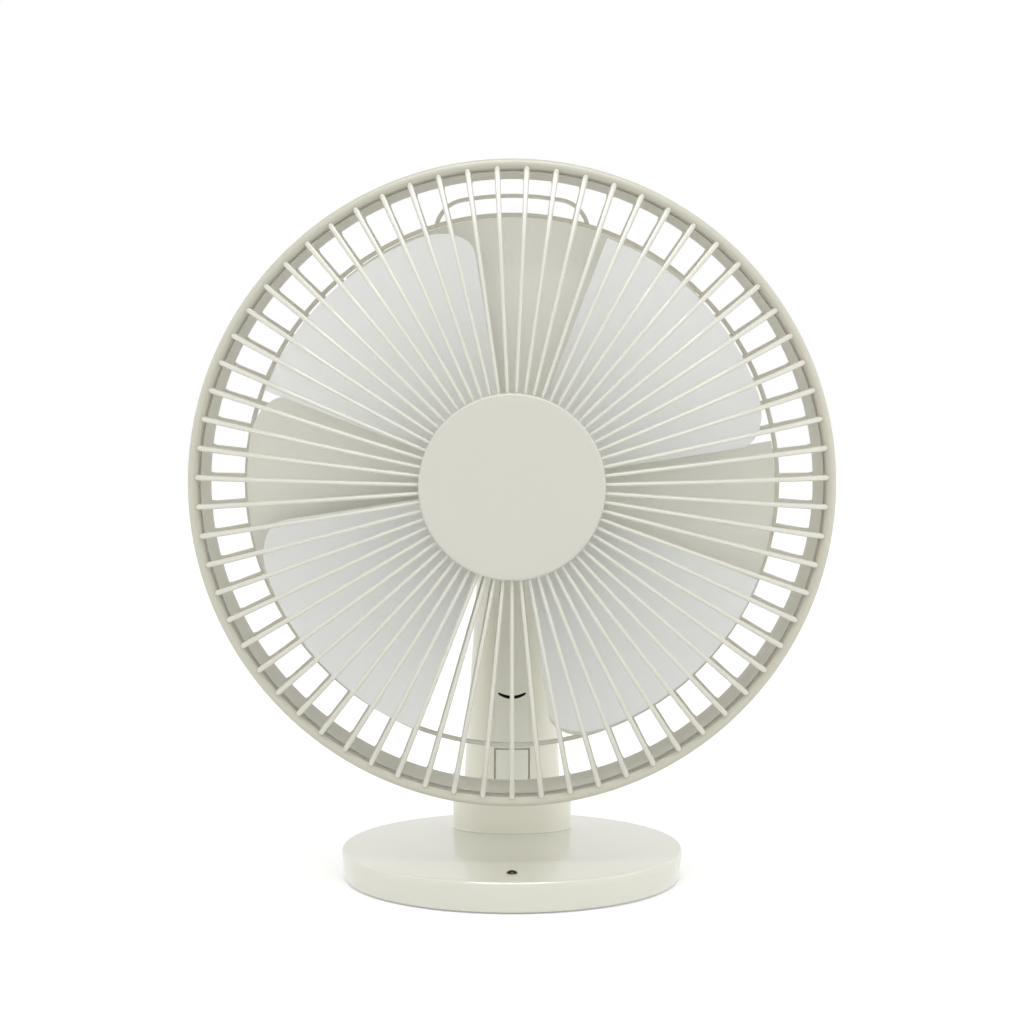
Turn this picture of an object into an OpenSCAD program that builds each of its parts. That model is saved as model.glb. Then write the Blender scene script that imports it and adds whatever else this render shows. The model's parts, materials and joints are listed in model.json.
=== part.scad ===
// Desk fan. A round guard holds two rotors that turn on one fixed axle. The guard tilts on a
// bolt at the top of a tapering column, which stands on a round, weighted base.
// Millimetres, +X to the right, +Y to the back, +Z up. The fan blows towards -Y.
// The origin is the centre of the base, on the table.

/* [Stance] */
// Height of the fan's axis above the table
axis_h = 107; // [104:1:120]
// Distance of the column's centre behind the centre of the base
column_y = 25; // [23:0.5:27]
// Distance from the tilt bolt forward to the head's own zero plane
head_reach = 25; // [25:0.5:30]

/* [Guard] */
// Outer radius of the rounded bead
guard_r = 82.5; // [80:0.5:88]
// Width of the bead, seen from the front
bead_w = 2.5; // [2.2:0.1:3.5]
// Depth of the bead, front to back
bead_depth = 4.2; // [3.6:0.1:6]
// Front of the rear guard's wall, ahead of the zero plane
wall_front = 27; // [27:0.5:30]
// Thickness of the rear guard's wall
wall_t = 2.2; // [1.8:0.1:2.8]
// Number of spokes, the same in both guards
spokes = 67; // [48:1:72]
// Width of a front spoke at the bead
spoke_rim_w = 2; // [1.6:0.1:2.4]
// Width of a front spoke at the cap
spoke_cap_w = 1.2; // [1:0.1:1.4]
// Thickness of a front spoke
spoke_t = 2; // [1.6:0.1:2.2]
// Height of the front guard's dome
dome_h = 11.7; // [11.4:0.1:15]
// Width of a rear rib
rib_w = 1.2; // [1:0.1:1.6]
// Thickness of a rear rib, front to back
rib_t = 2; // [1.6:0.1:2.4]
// How far the rear ribs rise from the centre plate to the wall
rear_rise = 6.4; // [5:0.1:7]
// Outer radius of the stiffening ring across the rear ribs
ring_r = 71; // [69.5:0.5:73]
// Width of the stiffening ring and of the finger grip's bar
ring_w = 1.4; // [1.2:0.1:2]
// Outer radius of the finger grip at the top of the rear guard
grip_r = 75.8; // [75:0.1:77]
// Angle that the level part of the finger grip covers
grip_angle = 20; // [14:1:30]
// Radius of the finger grip's shoulders
grip_shoulder = 9; // [8:0.5:11]

/* [Cap and centre plates] */
// Radius of the round cap
cap_r = 23.3; // [22:0.1:25]
// Thickness of the cap
cap_t = 2; // [1.6:0.1:3]
// Thickness of the front hub plate behind the cap
hub_plate_t = 1.8; // [1.4:0.1:2]
// Radius of the rear guard's centre plate
plate_r = 25; // [24.5:0.5:26]
// Thickness of the rear guard's centre plate
plate_t = 2.5; // [2:0.1:2.8]

/* [Rotors] */
// Number of blades on the front rotor
front_blades = 4; // [3:1:5]
// Angle that one front blade covers
front_blade_angle = 60; // [40:1:62]
// Tip radius of the front rotor
front_tip_r = 67; // [60:0.5:68]
// Number of blades on the rear rotor
rear_blades = 3; // [2:1:3]
// Angle that one rear blade covers
rear_blade_angle = 90; // [70:1:100]
// Tip radius of the rear rotor
rear_tip_r = 69; // [60:0.5:70]
// Thickness of a blade
blade_t = 1.3; // [1:0.1:1.6]
// Depth of the front blades, front to back
front_blade_depth = 9.7; // [7:0.1:10]
// Depth of the rear blades, front to back
rear_blade_depth = 10; // [7:0.1:10.5]
// Outer radius of the rotor hubs
hub_r = 20; // [19.5:0.1:21]
// Depth of a rotor hub, front to back
hub_depth = 15; // [15:0.1:15.5]
// Wall of a rotor hub
hub_wall = 1.5; // [1.2:0.1:1.6]
// Radius of the rounded corner of a blade tip
tip_corner = 7.5; // [5:0.5:10]

/* [Motors] */
// Radius of the fixed axle
axle_r = 3; // [2.5:0.1:3.2]
// Radius of the axle's hollow
axle_hollow_r = 1.6; // [1:0.1:1.8]
// Outer radius of the sleeve bearings
bearing_r = 6; // [5.5:0.1:6.5]
// Length of one sleeve bearing
bearing_l = 4; // [3.5:0.1:4]
// Outer radius of the stator cores
stator_r = 15; // [14:0.1:15.2]
// Thickness of the stator cores
stator_t = 5.5; // [4.5:0.1:5.5]
// Number of stator teeth
stator_teeth = 9; // [6:3:9]
// Radial thickness of the magnet rings
magnet_t = 2.6; // [2:0.1:2.7]
// Radius of the axle's flange
flange_r = 9; // [8:0.1:9.5]

/* [Tilt] */
// Radius of the knuckle at the top of the column
knuckle_r = 8; // [7:0.1:8.4]
// Width of the knuckle
knuckle_w = 14; // [13:0.5:15]
// Thickness of each tilt ear
ear_t = 3; // [2.5:0.1:3.5]
// Radius of the tilt bolt
bolt_r = 2.5; // [2:0.1:3]
// Outer radius of the tilt bush
bush_r = 4; // [3.6:0.1:4.5]

/* [Column] */
// Width of the column at its foot
column_foot_w = 28.7; // [27.5:0.1:29.5]
// Depth of the column at its foot
column_foot_d = 17.4; // [17:0.1:18]
// Width of the column under the knuckle
column_top_w = 17.7; // [17:0.1:19]
// Depth of the column under the knuckle
column_top_d = 15; // [14.5:0.1:15.6]
// Wall of the column
column_wall = 1.8; // [1.5:0.1:2]
// Width of the inset strip on the column's front
strip_w = 9.4; // [8:0.1:10]
// Thickness of the inset strip
strip_t = 0.9; // [0.7:0.1:1]
// Height of the strip's lower end above the base
strip_low = 13.7; // [12.5:0.1:15]
// Height of the latch under the strip
latch_h = 9.6; // [8:0.1:11]
// Height of the crescent nail slot above the base
slot_up = 37.8; // [34:0.1:50]
// Width of the collar
collar_w = 33.2; // [32.2:0.1:34]
// Depth of the collar
collar_d = 21; // [20.6:0.1:21.4]
// Height of the collar
collar_h = 10; // [8:0.5:11]

/* [Base] */
// Outer radius of the base at its lip
base_r = 45.8; // [42:0.1:52]
// Height of the base without its feet
base_h = 7.9; // [7.8:0.1:10]
// Wall of the base
base_wall = 1.6; // [1.4:0.1:1.7]
// Thickness of the bottom cover
cover_t = 1.5; // [1.3:0.1:1.6]
// How far the feet stand out under the base
foot_h = 0.4; // [0.3:0.1:1]
// Thickness of the feet, most of it in shallow recesses
foot_t = 1.1; // [0.8:0.1:1.4]
// Radius of the feet
foot_r = 5; // [4:0.1:6]
// Thickness of the ballast plate
ballast_t = 2; // [1.5:0.1:2]
// Radius of the lamp's lens
lamp_r = 1.4; // [1:0.1:2]
// Distance of the lamp from the base's front edge
lamp_inset = 10.9; // [10:0.1:13]

/* [Power] */
// Width of the power inlet's metal shell
inlet_w = 8.94; // [8:0.01:9.5]
// Height of the power inlet's metal shell
inlet_h = 3.26; // [3:0.01:3.4]
// Length of the power inlet
inlet_l = 7.35; // [6.5:0.01:8]
// Radius of the power button
button_r = 1.8; // [1.4:0.1:1.9]
// Distance of the power button to the right of the inlet
button_x = 13; // [11:0.5:14]
// Travel of the power button
button_travel = 0.5; // [0.3:0.1:0.5]

/* [Clearances] */
// Radial clearance of a part that turns on a shaft
run_gap = 0.03; // [0.02:0.01:0.05]
// Clearance between fixed pieces that fit together
fit_gap = 0.15; // [0.1:0.05:0.2]
// Radial clearance of a bearing pressed into its boss
press_gap = 0.03; // [0.01:0.01:0.05]
// Width of a visible seam
seam = 0.3; // [0.2:0.05:0.4]

/* [Hidden] */
$fn = 96;

off_white = [0.82, 0.815, 0.765];
blade_white = [0.86, 0.87, 0.87];
blade_beige = [0.78, 0.775, 0.72];
strip_grey = [0.77, 0.77, 0.75];
steel = [0.7, 0.71, 0.72];
eps = 0.01;

// Head: places along the axis, ahead of the head's zero plane
head_y = column_y - head_reach;
plate_back = 1.5;
plate_front = plate_back + plate_t;
bead_back = wall_front + seam;
bead_front = bead_back + bead_depth;
bead_mid_r = guard_r - bead_w / 2;
bead_in_r = guard_r - bead_w;
bead_round_z = bead_front - bead_w / 2;
spigot_w = 0.8;
spigot_h = 1.6;
wall_in_r = bead_in_r - 0.5;
wall_out_r = wall_in_r + wall_t;
spoke_end_r = bead_in_r + 0.5;
spoke_end_z = bead_front - 0.15;
spoke_root_r = cap_r - 1.5;
hub_plate_r = cap_r - 0.5;
dome_top = spoke_end_z + dome_h;
hub_plate_back = dome_top - hub_plate_t;
cap_front = dome_top + cap_t;
cap_leg_r = 1.5;
cap_leg_ring = cap_r - 8;

// Rotors and motors
hub_gap = 2.5;
rear_hub_back = plate_front + hub_gap;
rear_hub_front = rear_hub_back + hub_depth;
rotor_gap = 1.5;
front_hub_back = rear_hub_front + rotor_gap;
front_hub_front = front_hub_back + hub_depth;
hub_face_t = 1.5;
rear_blade_inset = 3.5;
front_blade_inset = 0.8;
rear_blade_back = rear_hub_back + rear_blade_inset;
front_blade_back = front_hub_back + front_blade_inset;
front_gap_mid = 264;
rear_gap_mid = 264;
corner_stretch = 1.8;
bearing_proud = 0.4;
washer_t = 0.5;
washer_r = 5;
play = 0.05;
magnet_l = stator_t + 1;
core_r = 8;
tooth_w = 2.6;
shoe_t = 1.5;
magnet_out_r = hub_r - hub_wall - fit_gap / 3;
magnet_in_r = magnet_out_r - magnet_t;
clip_t = 0.6;
clip_r = 4.4;
clip_groove = 0.4;
rear_bearing_front = rear_hub_front + bearing_proud;
rear_bearing_back = rear_bearing_front - 2 * bearing_l;
front_bearing_front = front_hub_front + bearing_proud;
front_bearing_back = front_bearing_front - 2 * bearing_l;
front_washer_z = front_bearing_front + play;
clip_z = front_washer_z + washer_t + play;
axle_tip = 0.7;
axle_front = clip_z + clip_t + axle_tip;
axle_back = -0.5;
flange_front = plate_back;

// Motor housing
housing_r = plate_r - 1;
housing_t = 1.6;
housing_depth = 14.5;
housing_back = plate_back - housing_depth;
housing_round = 8;
housing_screw_ring = 18.5;
housing_boss_r = 2.8;
screw_r = 1.1;
screw_head_r = 2.2;
screw_head_t = 1.2;
housing_screw_l = plate_t + 5.5;
board_t = 1;
board_z = -6;
board_r = housing_screw_ring - housing_boss_r - 0.5;
clamp_r = flange_r - 0.5;
ear_gap = 0.7;
ear_r = knuckle_r - 0.5;
ear_in = knuckle_w / 2 + ear_gap;
ear_out = ear_in + ear_t;
friction_gap = 0.1;
bolt_head_r = 4.2;
bolt_head_t = 2;

// Column and base
base_top_z = foot_h + base_h;
plate_under_z = base_top_z - base_wall;
cover_top_z = foot_h + cover_t;
shoulder_z = axis_h - 12;
neck_d = 13;
cavity_low_z = base_top_z + 8;
cavity_top_z = shoulder_z - 4;
strip_high_z = shoulder_z - 6;
strip_low_z = base_top_z + strip_low;
latch_top_z = strip_low_z + latch_h;
slot_z = base_top_z + slot_up;
slot_r = 7;
slot_w = 0.9;
slot_half = 4;
column_screw_z = [shoulder_z - 14, base_top_z + 26];
column_screw_x = 5;
column_boss_r = 3.2;
column_screw_seat = 3;
column_screw_bite = 4.5;
lead_r = 1.5;
lead_hole_r = 2.2;
foot_screw_x = 8;
foot_screw_y = column_y - 4;
foot_screw_l = 7;
base_in_r = base_r - 2.5;
base_screw_ring = base_in_r - 5;
base_screw_angles = [20, 160, 240, 300];
base_boss_r = 3;
base_screw_sink = 0.7;
foot_ring = base_in_r - foot_r - 2;
foot_recess = foot_t - foot_h;
ballast_r = base_screw_ring - base_boss_r - 1.5;
lamp_y = base_r - lamp_inset;
board_low_z = cover_top_z + 0.3;
board_top_z = board_low_z + board_t;
board_half_w = 17;
board_front_y = column_y - 3;
board_back_y = sqrt(pow(base_in_r - 0.45, 2) - pow(board_half_w, 2));
ballast_cut_y = board_front_y - 1.5;
ballast_cut_half = board_half_w + 1;
ballast_top_z = cover_top_z + ballast_t;
inlet_mouth_y = base_r - 1.2;
button_z = (cover_top_z + plate_under_z) / 2;
button_proud = 1.2;
button_l = 5;
button_out_y = sqrt(pow(base_r - 0.9, 2) - pow(button_x, 2)) + button_proud;
button_in_y = button_out_y - button_l;
button_flange_t = 0.7;
button_flange_w = 0.3;
board_cut_x = button_x - button_r - button_flange_w - 0.5;
board_cut_y = button_in_y - button_travel - 2 * fit_gap;
switch_pin = 1;
switch_l = 4;
switch_face_y = button_in_y - button_travel - fit_gap - switch_pin;
lamp_board_t = 0.8;
lamp_chip_h = 1;
ribbon_x = -8;
ribbon_t = 0.4;

// Puts a piece drawn along +Z, with the guard's front towards +Z, onto the fan's axis
module on_head() {
    translate([0, head_y, axis_h]) rotate([90, 0, 0]) children();
}

// A ring about Z
module tube(r_out, r_in, h) {
    difference() {
        cylinder(r = r_out, h = h);
        translate([0, 0, -eps]) cylinder(r = r_in, h = h + 2 * eps);
    }
}

// Front face of the domed front guard at radius r
function dome_z(r) =
    spoke_end_z + dome_h * (1 - pow((r - spoke_root_r) / (spoke_end_r - spoke_root_r), 3));

// Back face of the dished rear guard at radius r
function dish_z(r) =
    plate_back + rear_rise * pow((r - plate_r) / (wall_in_r - plate_r), 2);

// Radii from a to b in n even steps
function steps(a, b, n) = [for (i = [0:n]) a + (b - a) * i / n];

// Radial strips, seen from the front, with one straight down
module strips(r_in, r_out, w_in, w_out) {
    for (i = [0:spokes - 1])
        rotate(270 + i * 360 / spokes)
            polygon([[r_in, -w_in / 2], [r_out, -w_out / 2], [r_out, w_out / 2], [r_in, w_in / 2]]);
}

module bead_profile() {
    translate([bead_in_r, bead_back]) square([bead_w, bead_round_z - bead_back]);
    translate([bead_mid_r, bead_round_z]) circle(r = bead_w / 2, $fn = 48);
}

module front_spokes() {
    radii = steps(spoke_root_r, spoke_end_r, 8);
    front = [for (r = radii) [r, dome_z(r)]];
    back = [for (i = [len(radii) - 1:-1:0]) [radii[i], dome_z(radii[i]) - spoke_t]];
    intersection() {
        rotate_extrude() polygon(concat(front, back));
        linear_extrude(height = cap_front)
            strips(spoke_root_r - 1, spoke_end_r + 1, spoke_cap_w, spoke_rim_w);
    }
}

module front_guard() {
    color(off_white) on_head() {
        difference() {
            rotate_extrude() bead_profile();
            translate([0, 0, bead_back - eps])
                tube(bead_mid_r + spigot_w / 2 + fit_gap, bead_mid_r - spigot_w / 2 - fit_gap,
                    spigot_h + fit_gap);
        }
        front_spokes();
        translate([0, 0, hub_plate_back]) difference() {
            cylinder(r = hub_plate_r, h = hub_plate_t);
            for (a = [90, 210, 330])
                rotate(a) translate([cap_leg_ring, 0, -eps])
                    cylinder(r = cap_leg_r + fit_gap, h = hub_plate_t + 2 * eps);
        }
    }
}

module guard_cap() {
    edge = 0.8;
    color(off_white) on_head() translate([0, 0, dome_top]) {
        rotate_extrude() {
            square([cap_r - edge, cap_t]);
            square([cap_r, cap_t - edge]);
            translate([cap_r - edge, cap_t - edge]) circle(r = edge, $fn = 32);
        }
        for (a = [90, 210, 330])
            rotate(a) translate([cap_leg_ring, 0, -hub_plate_t])
                cylinder(r = cap_leg_r, h = hub_plate_t + cap_t / 2);
    }
}

module rear_ribs() {
    radii = steps(plate_r - 1, wall_in_r + 0.6, 8);
    back = [for (r = radii) [r, dish_z(r)]];
    front = [for (i = [len(radii) - 1:-1:0]) [radii[i], dish_z(radii[i]) + rib_t]];
    intersection() {
        rotate_extrude() polygon(concat(back, front));
        linear_extrude(height = wall_front)
            strips(plate_r - 2, wall_in_r + 1, rib_w, rib_w);
    }
}

module rear_wall() {
    back = dish_z(wall_in_r);
    rotate_extrude() {
        polygon([
            [wall_in_r, wall_front], [wall_out_r, wall_front], [wall_out_r, back + 3],
            [wall_out_r - 0.7, back + 1], [wall_in_r + 0.5, back], [wall_in_r, back + 0.4]
        ]);
        translate([bead_mid_r - spigot_w / 2, wall_front - eps]) square([spigot_w, spigot_h]);
    }
}

// One shoulder of the finger grip, on the right for side = -1 and on the left for side = 1
module grip_end(side) {
    bar_r = grip_shoulder - ring_w;
    at = 90 + side * grip_angle / 2;
    z = dish_z(ring_r);
    rotate(at) translate([grip_r - grip_shoulder, 0, z]) {
        rotate(side > 0 ? 0 : -76) rotate_extrude(angle = 76)
            translate([bar_r, 0]) square([ring_w, rib_t]);
        intersection() {
            cylinder(r = bar_r + eps, h = 1);
            translate([ring_r - ring_w - grip_r + grip_shoulder, side > 0 ? 0 : -bar_r, 0])
                cube([bar_r, bar_r, 1]);
        }
    }
}

module finger_grip() {
    translate([0, 0, dish_z(ring_r)]) rotate(90 - grip_angle / 2)
        rotate_extrude(angle = grip_angle) translate([grip_r - ring_w, 0]) square([ring_w, rib_t]);
    grip_end(-1);
    grip_end(1);
}

module rear_guard() {
    color(off_white) on_head() {
        rear_wall();
        rear_ribs();
        translate([0, 0, dish_z(ring_r)]) tube(ring_r, ring_r - ring_w, rib_t);
        finger_grip();
        translate([0, 0, plate_back]) difference() {
            cylinder(r = plate_r, h = plate_t);
            translate([0, 0, -eps]) cylinder(r = axle_r + fit_gap, h = plate_t + 2 * eps);
            for (a = [45:90:315])
                rotate(a) translate([housing_screw_ring, 0, -eps])
                    cylinder(r = screw_r + fit_gap, h = plate_t + 2 * eps);
        }
    }
}

module housing_shell() {
    inner = housing_r - housing_t;
    inner_round = housing_round - housing_t;
    difference() {
        rotate_extrude() {
            translate([0, housing_back + housing_round])
                square([housing_r, housing_depth - housing_round]);
            translate([0, housing_back]) square([housing_r - housing_round, housing_round + eps]);
            intersection() {
                translate([housing_r - housing_round, housing_back + housing_round])
                    circle(r = housing_round);
                translate([0, housing_back]) square([housing_r, housing_round + eps]);
            }
        }
        rotate_extrude() {
            translate([0, housing_back + housing_round])
                square([inner, housing_depth - housing_round + eps]);
            translate([0, housing_back + housing_t])
                square([inner - inner_round, inner_round + eps]);
            intersection() {
                translate([inner - inner_round, housing_back + housing_round])
                    circle(r = inner_round);
                translate([0, housing_back]) square([inner, housing_round + eps]);
            }
        }
    }
}

module tilt_ear(x) {
    difference() {
        union() {
            translate([x, 0, -head_reach]) rotate([0, 90, 0]) cylinder(r = ear_r, h = ear_t);
            translate([x, -ear_r, -head_reach])
                cube([ear_t, 2 * ear_r, head_reach + housing_back + housing_t / 2]);
        }
        translate([x - eps, 0, -head_reach]) rotate([0, 90, 0])
            cylinder(r = bolt_r + run_gap, h = ear_t + 2 * eps);
    }
}

module motor_housing() {
    floor_z = housing_back + housing_t;
    color(off_white) on_head() {
        housing_shell();
        translate([0, 0, floor_z - eps]) tube(clamp_r, axle_r, axle_back - floor_z + eps);
        translate([0, 0, floor_z - eps]) tube(clamp_r + 2, clamp_r - eps, board_z - floor_z + eps);
        for (a = [45:90:315])
            rotate(a) translate([housing_screw_ring, 0, floor_z])
                tube(housing_boss_r, screw_r, plate_back - floor_z);
        tilt_ear(ear_in);
        tilt_ear(-ear_out);
    }
}

module screw(shank_r, head_r, head_t, length) {
    cylinder(r = head_r, h = head_t);
    translate([0, 0, -length]) cylinder(r = shank_r, h = length + eps);
}

module housing_screws() {
    color(steel) on_head()
        for (a = [45:90:315])
            rotate(a) translate([housing_screw_ring, 0, plate_front])
                screw(screw_r - 0.02, screw_head_r, screw_head_t, housing_screw_l);
}

module driver_board() {
    color([0.16, 0.42, 0.3]) on_head() translate([0, 0, board_z]) {
        tube(board_r, clamp_r + fit_gap, board_t);
        for (a = [0, 120, 240])
            rotate(a) translate([clamp_r + 3.4, 0, board_t]) translate([-2, -2, -eps])
                cube([4, 4, 1.2]);
    }
}

module axle() {
    color(steel) on_head() difference() {
        union() {
            translate([0, 0, axle_back]) cylinder(r = axle_r, h = axle_front - axle_back);
            translate([0, 0, axle_back]) cylinder(r = flange_r, h = flange_front - axle_back);
        }
        translate([0, 0, axle_back - eps])
            cylinder(r = axle_hollow_r, h = axle_front - axle_back + 2 * eps);
        translate([0, 0, clip_z - play])
            tube(axle_r + 1, axle_r - clip_groove, clip_t + 2 * play);
    }
}

module axle_circlip() {
    color(steel) on_head() translate([0, 0, clip_z]) difference() {
        tube(clip_r, axle_r - clip_groove + 0.02, clip_t);
        translate([-1, 0, -eps]) cube([2, clip_r + 1, clip_t + 2 * eps]);
    }
}

module spacer_sleeve() {
    color(steel) on_head() translate([0, 0, rear_bearing_front + play])
        tube(washer_r, axle_r + 0.02, front_stator_back() - rear_bearing_front - 2 * play);
}

function front_stator_back() = front_bearing_back - play - washer_t - play - stator_t;
function rear_stator_back() = rear_bearing_back - play - washer_t - play - stator_t;

module thrust_washers() {
    places = [
        front_washer_z,
        front_bearing_back - play - washer_t,
        rear_bearing_back - play - washer_t
    ];
    color([0.75, 0.66, 0.4]) on_head()
        for (z = places) translate([0, 0, z]) tube(washer_r, axle_r + 0.02, washer_t);
}

module stator_core() {
    shoe_w = 5.6;
    tube(core_r, axle_r + 0.02, stator_t);
    intersection() {
        tube(stator_r, core_r - 1, stator_t);
        for (i = [0:stator_teeth - 1])
            rotate(i * 360 / stator_teeth) {
                translate([core_r - 1, -tooth_w / 2, 0])
                    cube([stator_r - core_r + 1, tooth_w, stator_t]);
                translate([stator_r - shoe_t, -shoe_w / 2, 0]) cube([shoe_t, shoe_w, stator_t]);
            }
    }
}

module coils() {
    wire = 0.85;
    gap = 0.05;
    start = core_r + 0.4;
    length = stator_r - shoe_t - start - 0.2;
    hole_w = tooth_w + 2 * gap;
    coil_w = hole_w + 2 * wire + 0.4;
    for (i = [0:stator_teeth - 1])
        rotate(i * 360 / stator_teeth) translate([start, 0, 0]) difference() {
            translate([0, -coil_w / 2, -gap - wire])
                cube([length, coil_w, stator_t + 2 * gap + 2 * wire]);
            translate([-1, -hole_w / 2, -gap]) cube([length + 2, hole_w, stator_t + 2 * gap]);
        }
}

module front_stator_core() {
    color([0.45, 0.46, 0.48]) on_head() translate([0, 0, front_stator_back()]) stator_core();
}

module front_coils() {
    color([0.72, 0.4, 0.2]) on_head() translate([0, 0, front_stator_back()]) coils();
}

module rear_stator_core() {
    color([0.45, 0.46, 0.48]) on_head() translate([0, 0, rear_stator_back()]) stator_core();
}

module rear_coils() {
    color([0.72, 0.4, 0.2]) on_head() translate([0, 0, rear_stator_back()]) coils();
}

// Cup-shaped rotor hub, closed at the front, with a boss for the two sleeve bearings
module rotor_hub(back, front) {
    boss_back = front + bearing_proud - 2 * bearing_l + 0.3;
    difference() {
        translate([0, 0, back]) cylinder(r = hub_r, h = front - back);
        translate([0, 0, back - eps])
            cylinder(r = hub_r - hub_wall, h = front - back - hub_face_t + eps);
        translate([0, 0, back]) cylinder(r = bearing_r, h = front - back + 1);
    }
    translate([0, 0, boss_back]) tube(bearing_r + 2, bearing_r, front - boss_back - hub_face_t / 2);
}

// Start angle of a blade at radius r, where its tip corner is rounded on the low-angle side
function corner_angle(r, tip_r) =
    r <= tip_r - tip_corner ? 0 :
    corner_stretch * tip_corner / tip_r * 180 / PI
        * (1 - sqrt(max(0, 1 - pow((r - tip_r + tip_corner) / tip_corner, 2))));

// One blade as a curved sheet from angle a0 to a1. Its height runs from z0 at a0 to z1 at a1.
module blade(tip_r, a0, a1, z0, z1) {
    flat = steps(hub_r - 1, tip_r - tip_corner, 5);
    curl = [for (i = [1:5]) tip_r - tip_corner + tip_corner * sin(i * 18)];
    radii = concat(flat, curl);
    na = 10;
    nr = len(radii);
    function along(r, j) =
        let (start = a0 + corner_angle(r, tip_r)) start + (a1 - start) * j / na;
    function height(a) =
        let (s = (a - a0) / (a1 - a0)) z0 + (z1 - z0) * (s + 0.08 * sin(360 * s));
    top = [for (r = radii) for (j = [0:na])
        let (a = along(r, j)) [r * cos(a), r * sin(a), height(a) + blade_t / 2]];
    low = [for (p = top) [p[0], p[1], p[2] - blade_t]];
    n = len(top);
    w = na + 1;
    function id(i, j) = i * w + j;
    faces = concat(
        [for (i = [0:nr - 2]) for (j = [0:na - 1]) [id(i, j), id(i, j + 1), id(i + 1, j + 1)]],
        [for (i = [0:nr - 2]) for (j = [0:na - 1]) [id(i, j), id(i + 1, j + 1), id(i + 1, j)]],
        [for (i = [0:nr - 2]) for (j = [0:na - 1])
            [n + id(i, j), n + id(i + 1, j + 1), n + id(i, j + 1)]],
        [for (i = [0:nr - 2]) for (j = [0:na - 1])
            [n + id(i, j), n + id(i + 1, j), n + id(i + 1, j + 1)]],
        [for (i = [0:nr - 2]) [id(i, 0), id(i + 1, 0), n + id(i + 1, 0)]],
        [for (i = [0:nr - 2]) [id(i, 0), n + id(i + 1, 0), n + id(i, 0)]],
        [for (i = [0:nr - 2]) [id(i, na), n + id(i + 1, na), id(i + 1, na)]],
        [for (i = [0:nr - 2]) [id(i, na), n + id(i, na), n + id(i + 1, na)]],
        [for (j = [0:na - 1]) [id(0, j), n + id(0, j + 1), id(0, j + 1)]],
        [for (j = [0:na - 1]) [id(0, j), n + id(0, j), n + id(0, j + 1)]],
        [for (j = [0:na - 1]) [id(nr - 1, j), id(nr - 1, j + 1), n + id(nr - 1, j + 1)]],
        [for (j = [0:na - 1]) [id(nr - 1, j), n + id(nr - 1, j + 1), n + id(nr - 1, j)]]
    );
    polyhedron(points = concat(top, low), faces = faces);
}

module front_rotor() {
    pitch = 360 / front_blades;
    color(blade_white) on_head() {
        rotor_hub(front_hub_back, front_hub_front);
        for (i = [0:front_blades - 1]) {
            a0 = front_gap_mid + (pitch - front_blade_angle) / 2 + i * pitch;
            blade(front_tip_r, a0, a0 + front_blade_angle,
                front_blade_back + blade_t / 2, front_blade_back + front_blade_depth - blade_t / 2);
        }
    }
}

module rear_rotor() {
    pitch = 360 / rear_blades;
    color(blade_beige) on_head() {
        rotor_hub(rear_hub_back, rear_hub_front);
        for (i = [0:rear_blades - 1]) {
            a0 = rear_gap_mid + (pitch - rear_blade_angle) / 2 + i * pitch;
            blade(rear_tip_r, a0, a0 + rear_blade_angle,
                rear_blade_back + rear_blade_depth - blade_t / 2, rear_blade_back + blade_t / 2);
        }
    }
}

module magnet_ring(z) {
    color([0.28, 0.28, 0.3]) on_head() translate([0, 0, z - 0.5])
        tube(magnet_out_r, magnet_in_r, magnet_l);
}

module front_magnet_ring() { magnet_ring(front_stator_back()); }

module rear_magnet_ring() { magnet_ring(rear_stator_back()); }

module bearing_pair(back) {
    color([0.72, 0.58, 0.34]) on_head()
        for (z = [back, back + bearing_l])
            translate([0, 0, z]) tube(bearing_r - press_gap, axle_r + run_gap, bearing_l - play);
}

module front_bearings() { bearing_pair(front_bearing_back); }

module rear_bearings() { bearing_pair(rear_bearing_back); }

// Puts a piece drawn along +Z onto the tilt bolt's axis, with +Z to the right
module on_bolt() {
    translate([0, column_y, axis_h]) rotate([0, 90, 0]) children();
}

module tilt_bolt() {
    color(steel) on_bolt() difference() {
        union() {
            translate([0, 0, -ear_out - bolt_head_t]) cylinder(r = bolt_head_r, h = bolt_head_t);
            translate([0, 0, -ear_out - eps])
                cylinder(r = bolt_r, h = 2 * ear_out + bolt_head_t + 1);
        }
        translate([0, 0, -ear_out - bolt_head_t - eps]) cylinder(r = 1.8, h = 1.2, $fn = 6);
    }
}

module tilt_nut() {
    color(steel) on_bolt() translate([0, 0, ear_out]) difference() {
        cylinder(r = bolt_head_r, h = bolt_head_t, $fn = 6);
        translate([0, 0, -eps]) cylinder(r = bolt_r + 0.02, h = bolt_head_t + 2 * eps);
    }
}

module tilt_bush() {
    color([0.3, 0.3, 0.3]) on_bolt() translate([0, 0, -knuckle_w / 2])
        tube(bush_r, bolt_r + run_gap, knuckle_w);
}

module friction_washers() {
    t = ear_gap - friction_gap;
    color(steel) on_bolt()
        for (z = [-ear_in, ear_in - t])
            translate([0, 0, z]) tube(knuckle_r - 2, bolt_r + 0.02, t);
}

module oval(w, d) { scale([1, d / w]) circle(d = w); }

// Tapering column body, made smaller all round by inset
module column_body(low_z, high_z, inset) {
    function mix(a, b, z) = a + (b - a) * (z - base_top_z) / (shoulder_z - base_top_z);
    hull()
        for (z = [low_z, high_z - eps])
            translate([0, column_y, z]) linear_extrude(height = eps)
                oval(mix(column_foot_w, column_top_w, z) - 2 * inset,
                    mix(column_foot_d, column_top_d, z) - 2 * inset);
}

// Front face of the column at height z
function column_face_y(z) =
    column_y - (column_foot_d + (column_top_d - column_foot_d)
        * (z - base_top_z) / (shoulder_z - base_top_z)) / 2;

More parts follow.
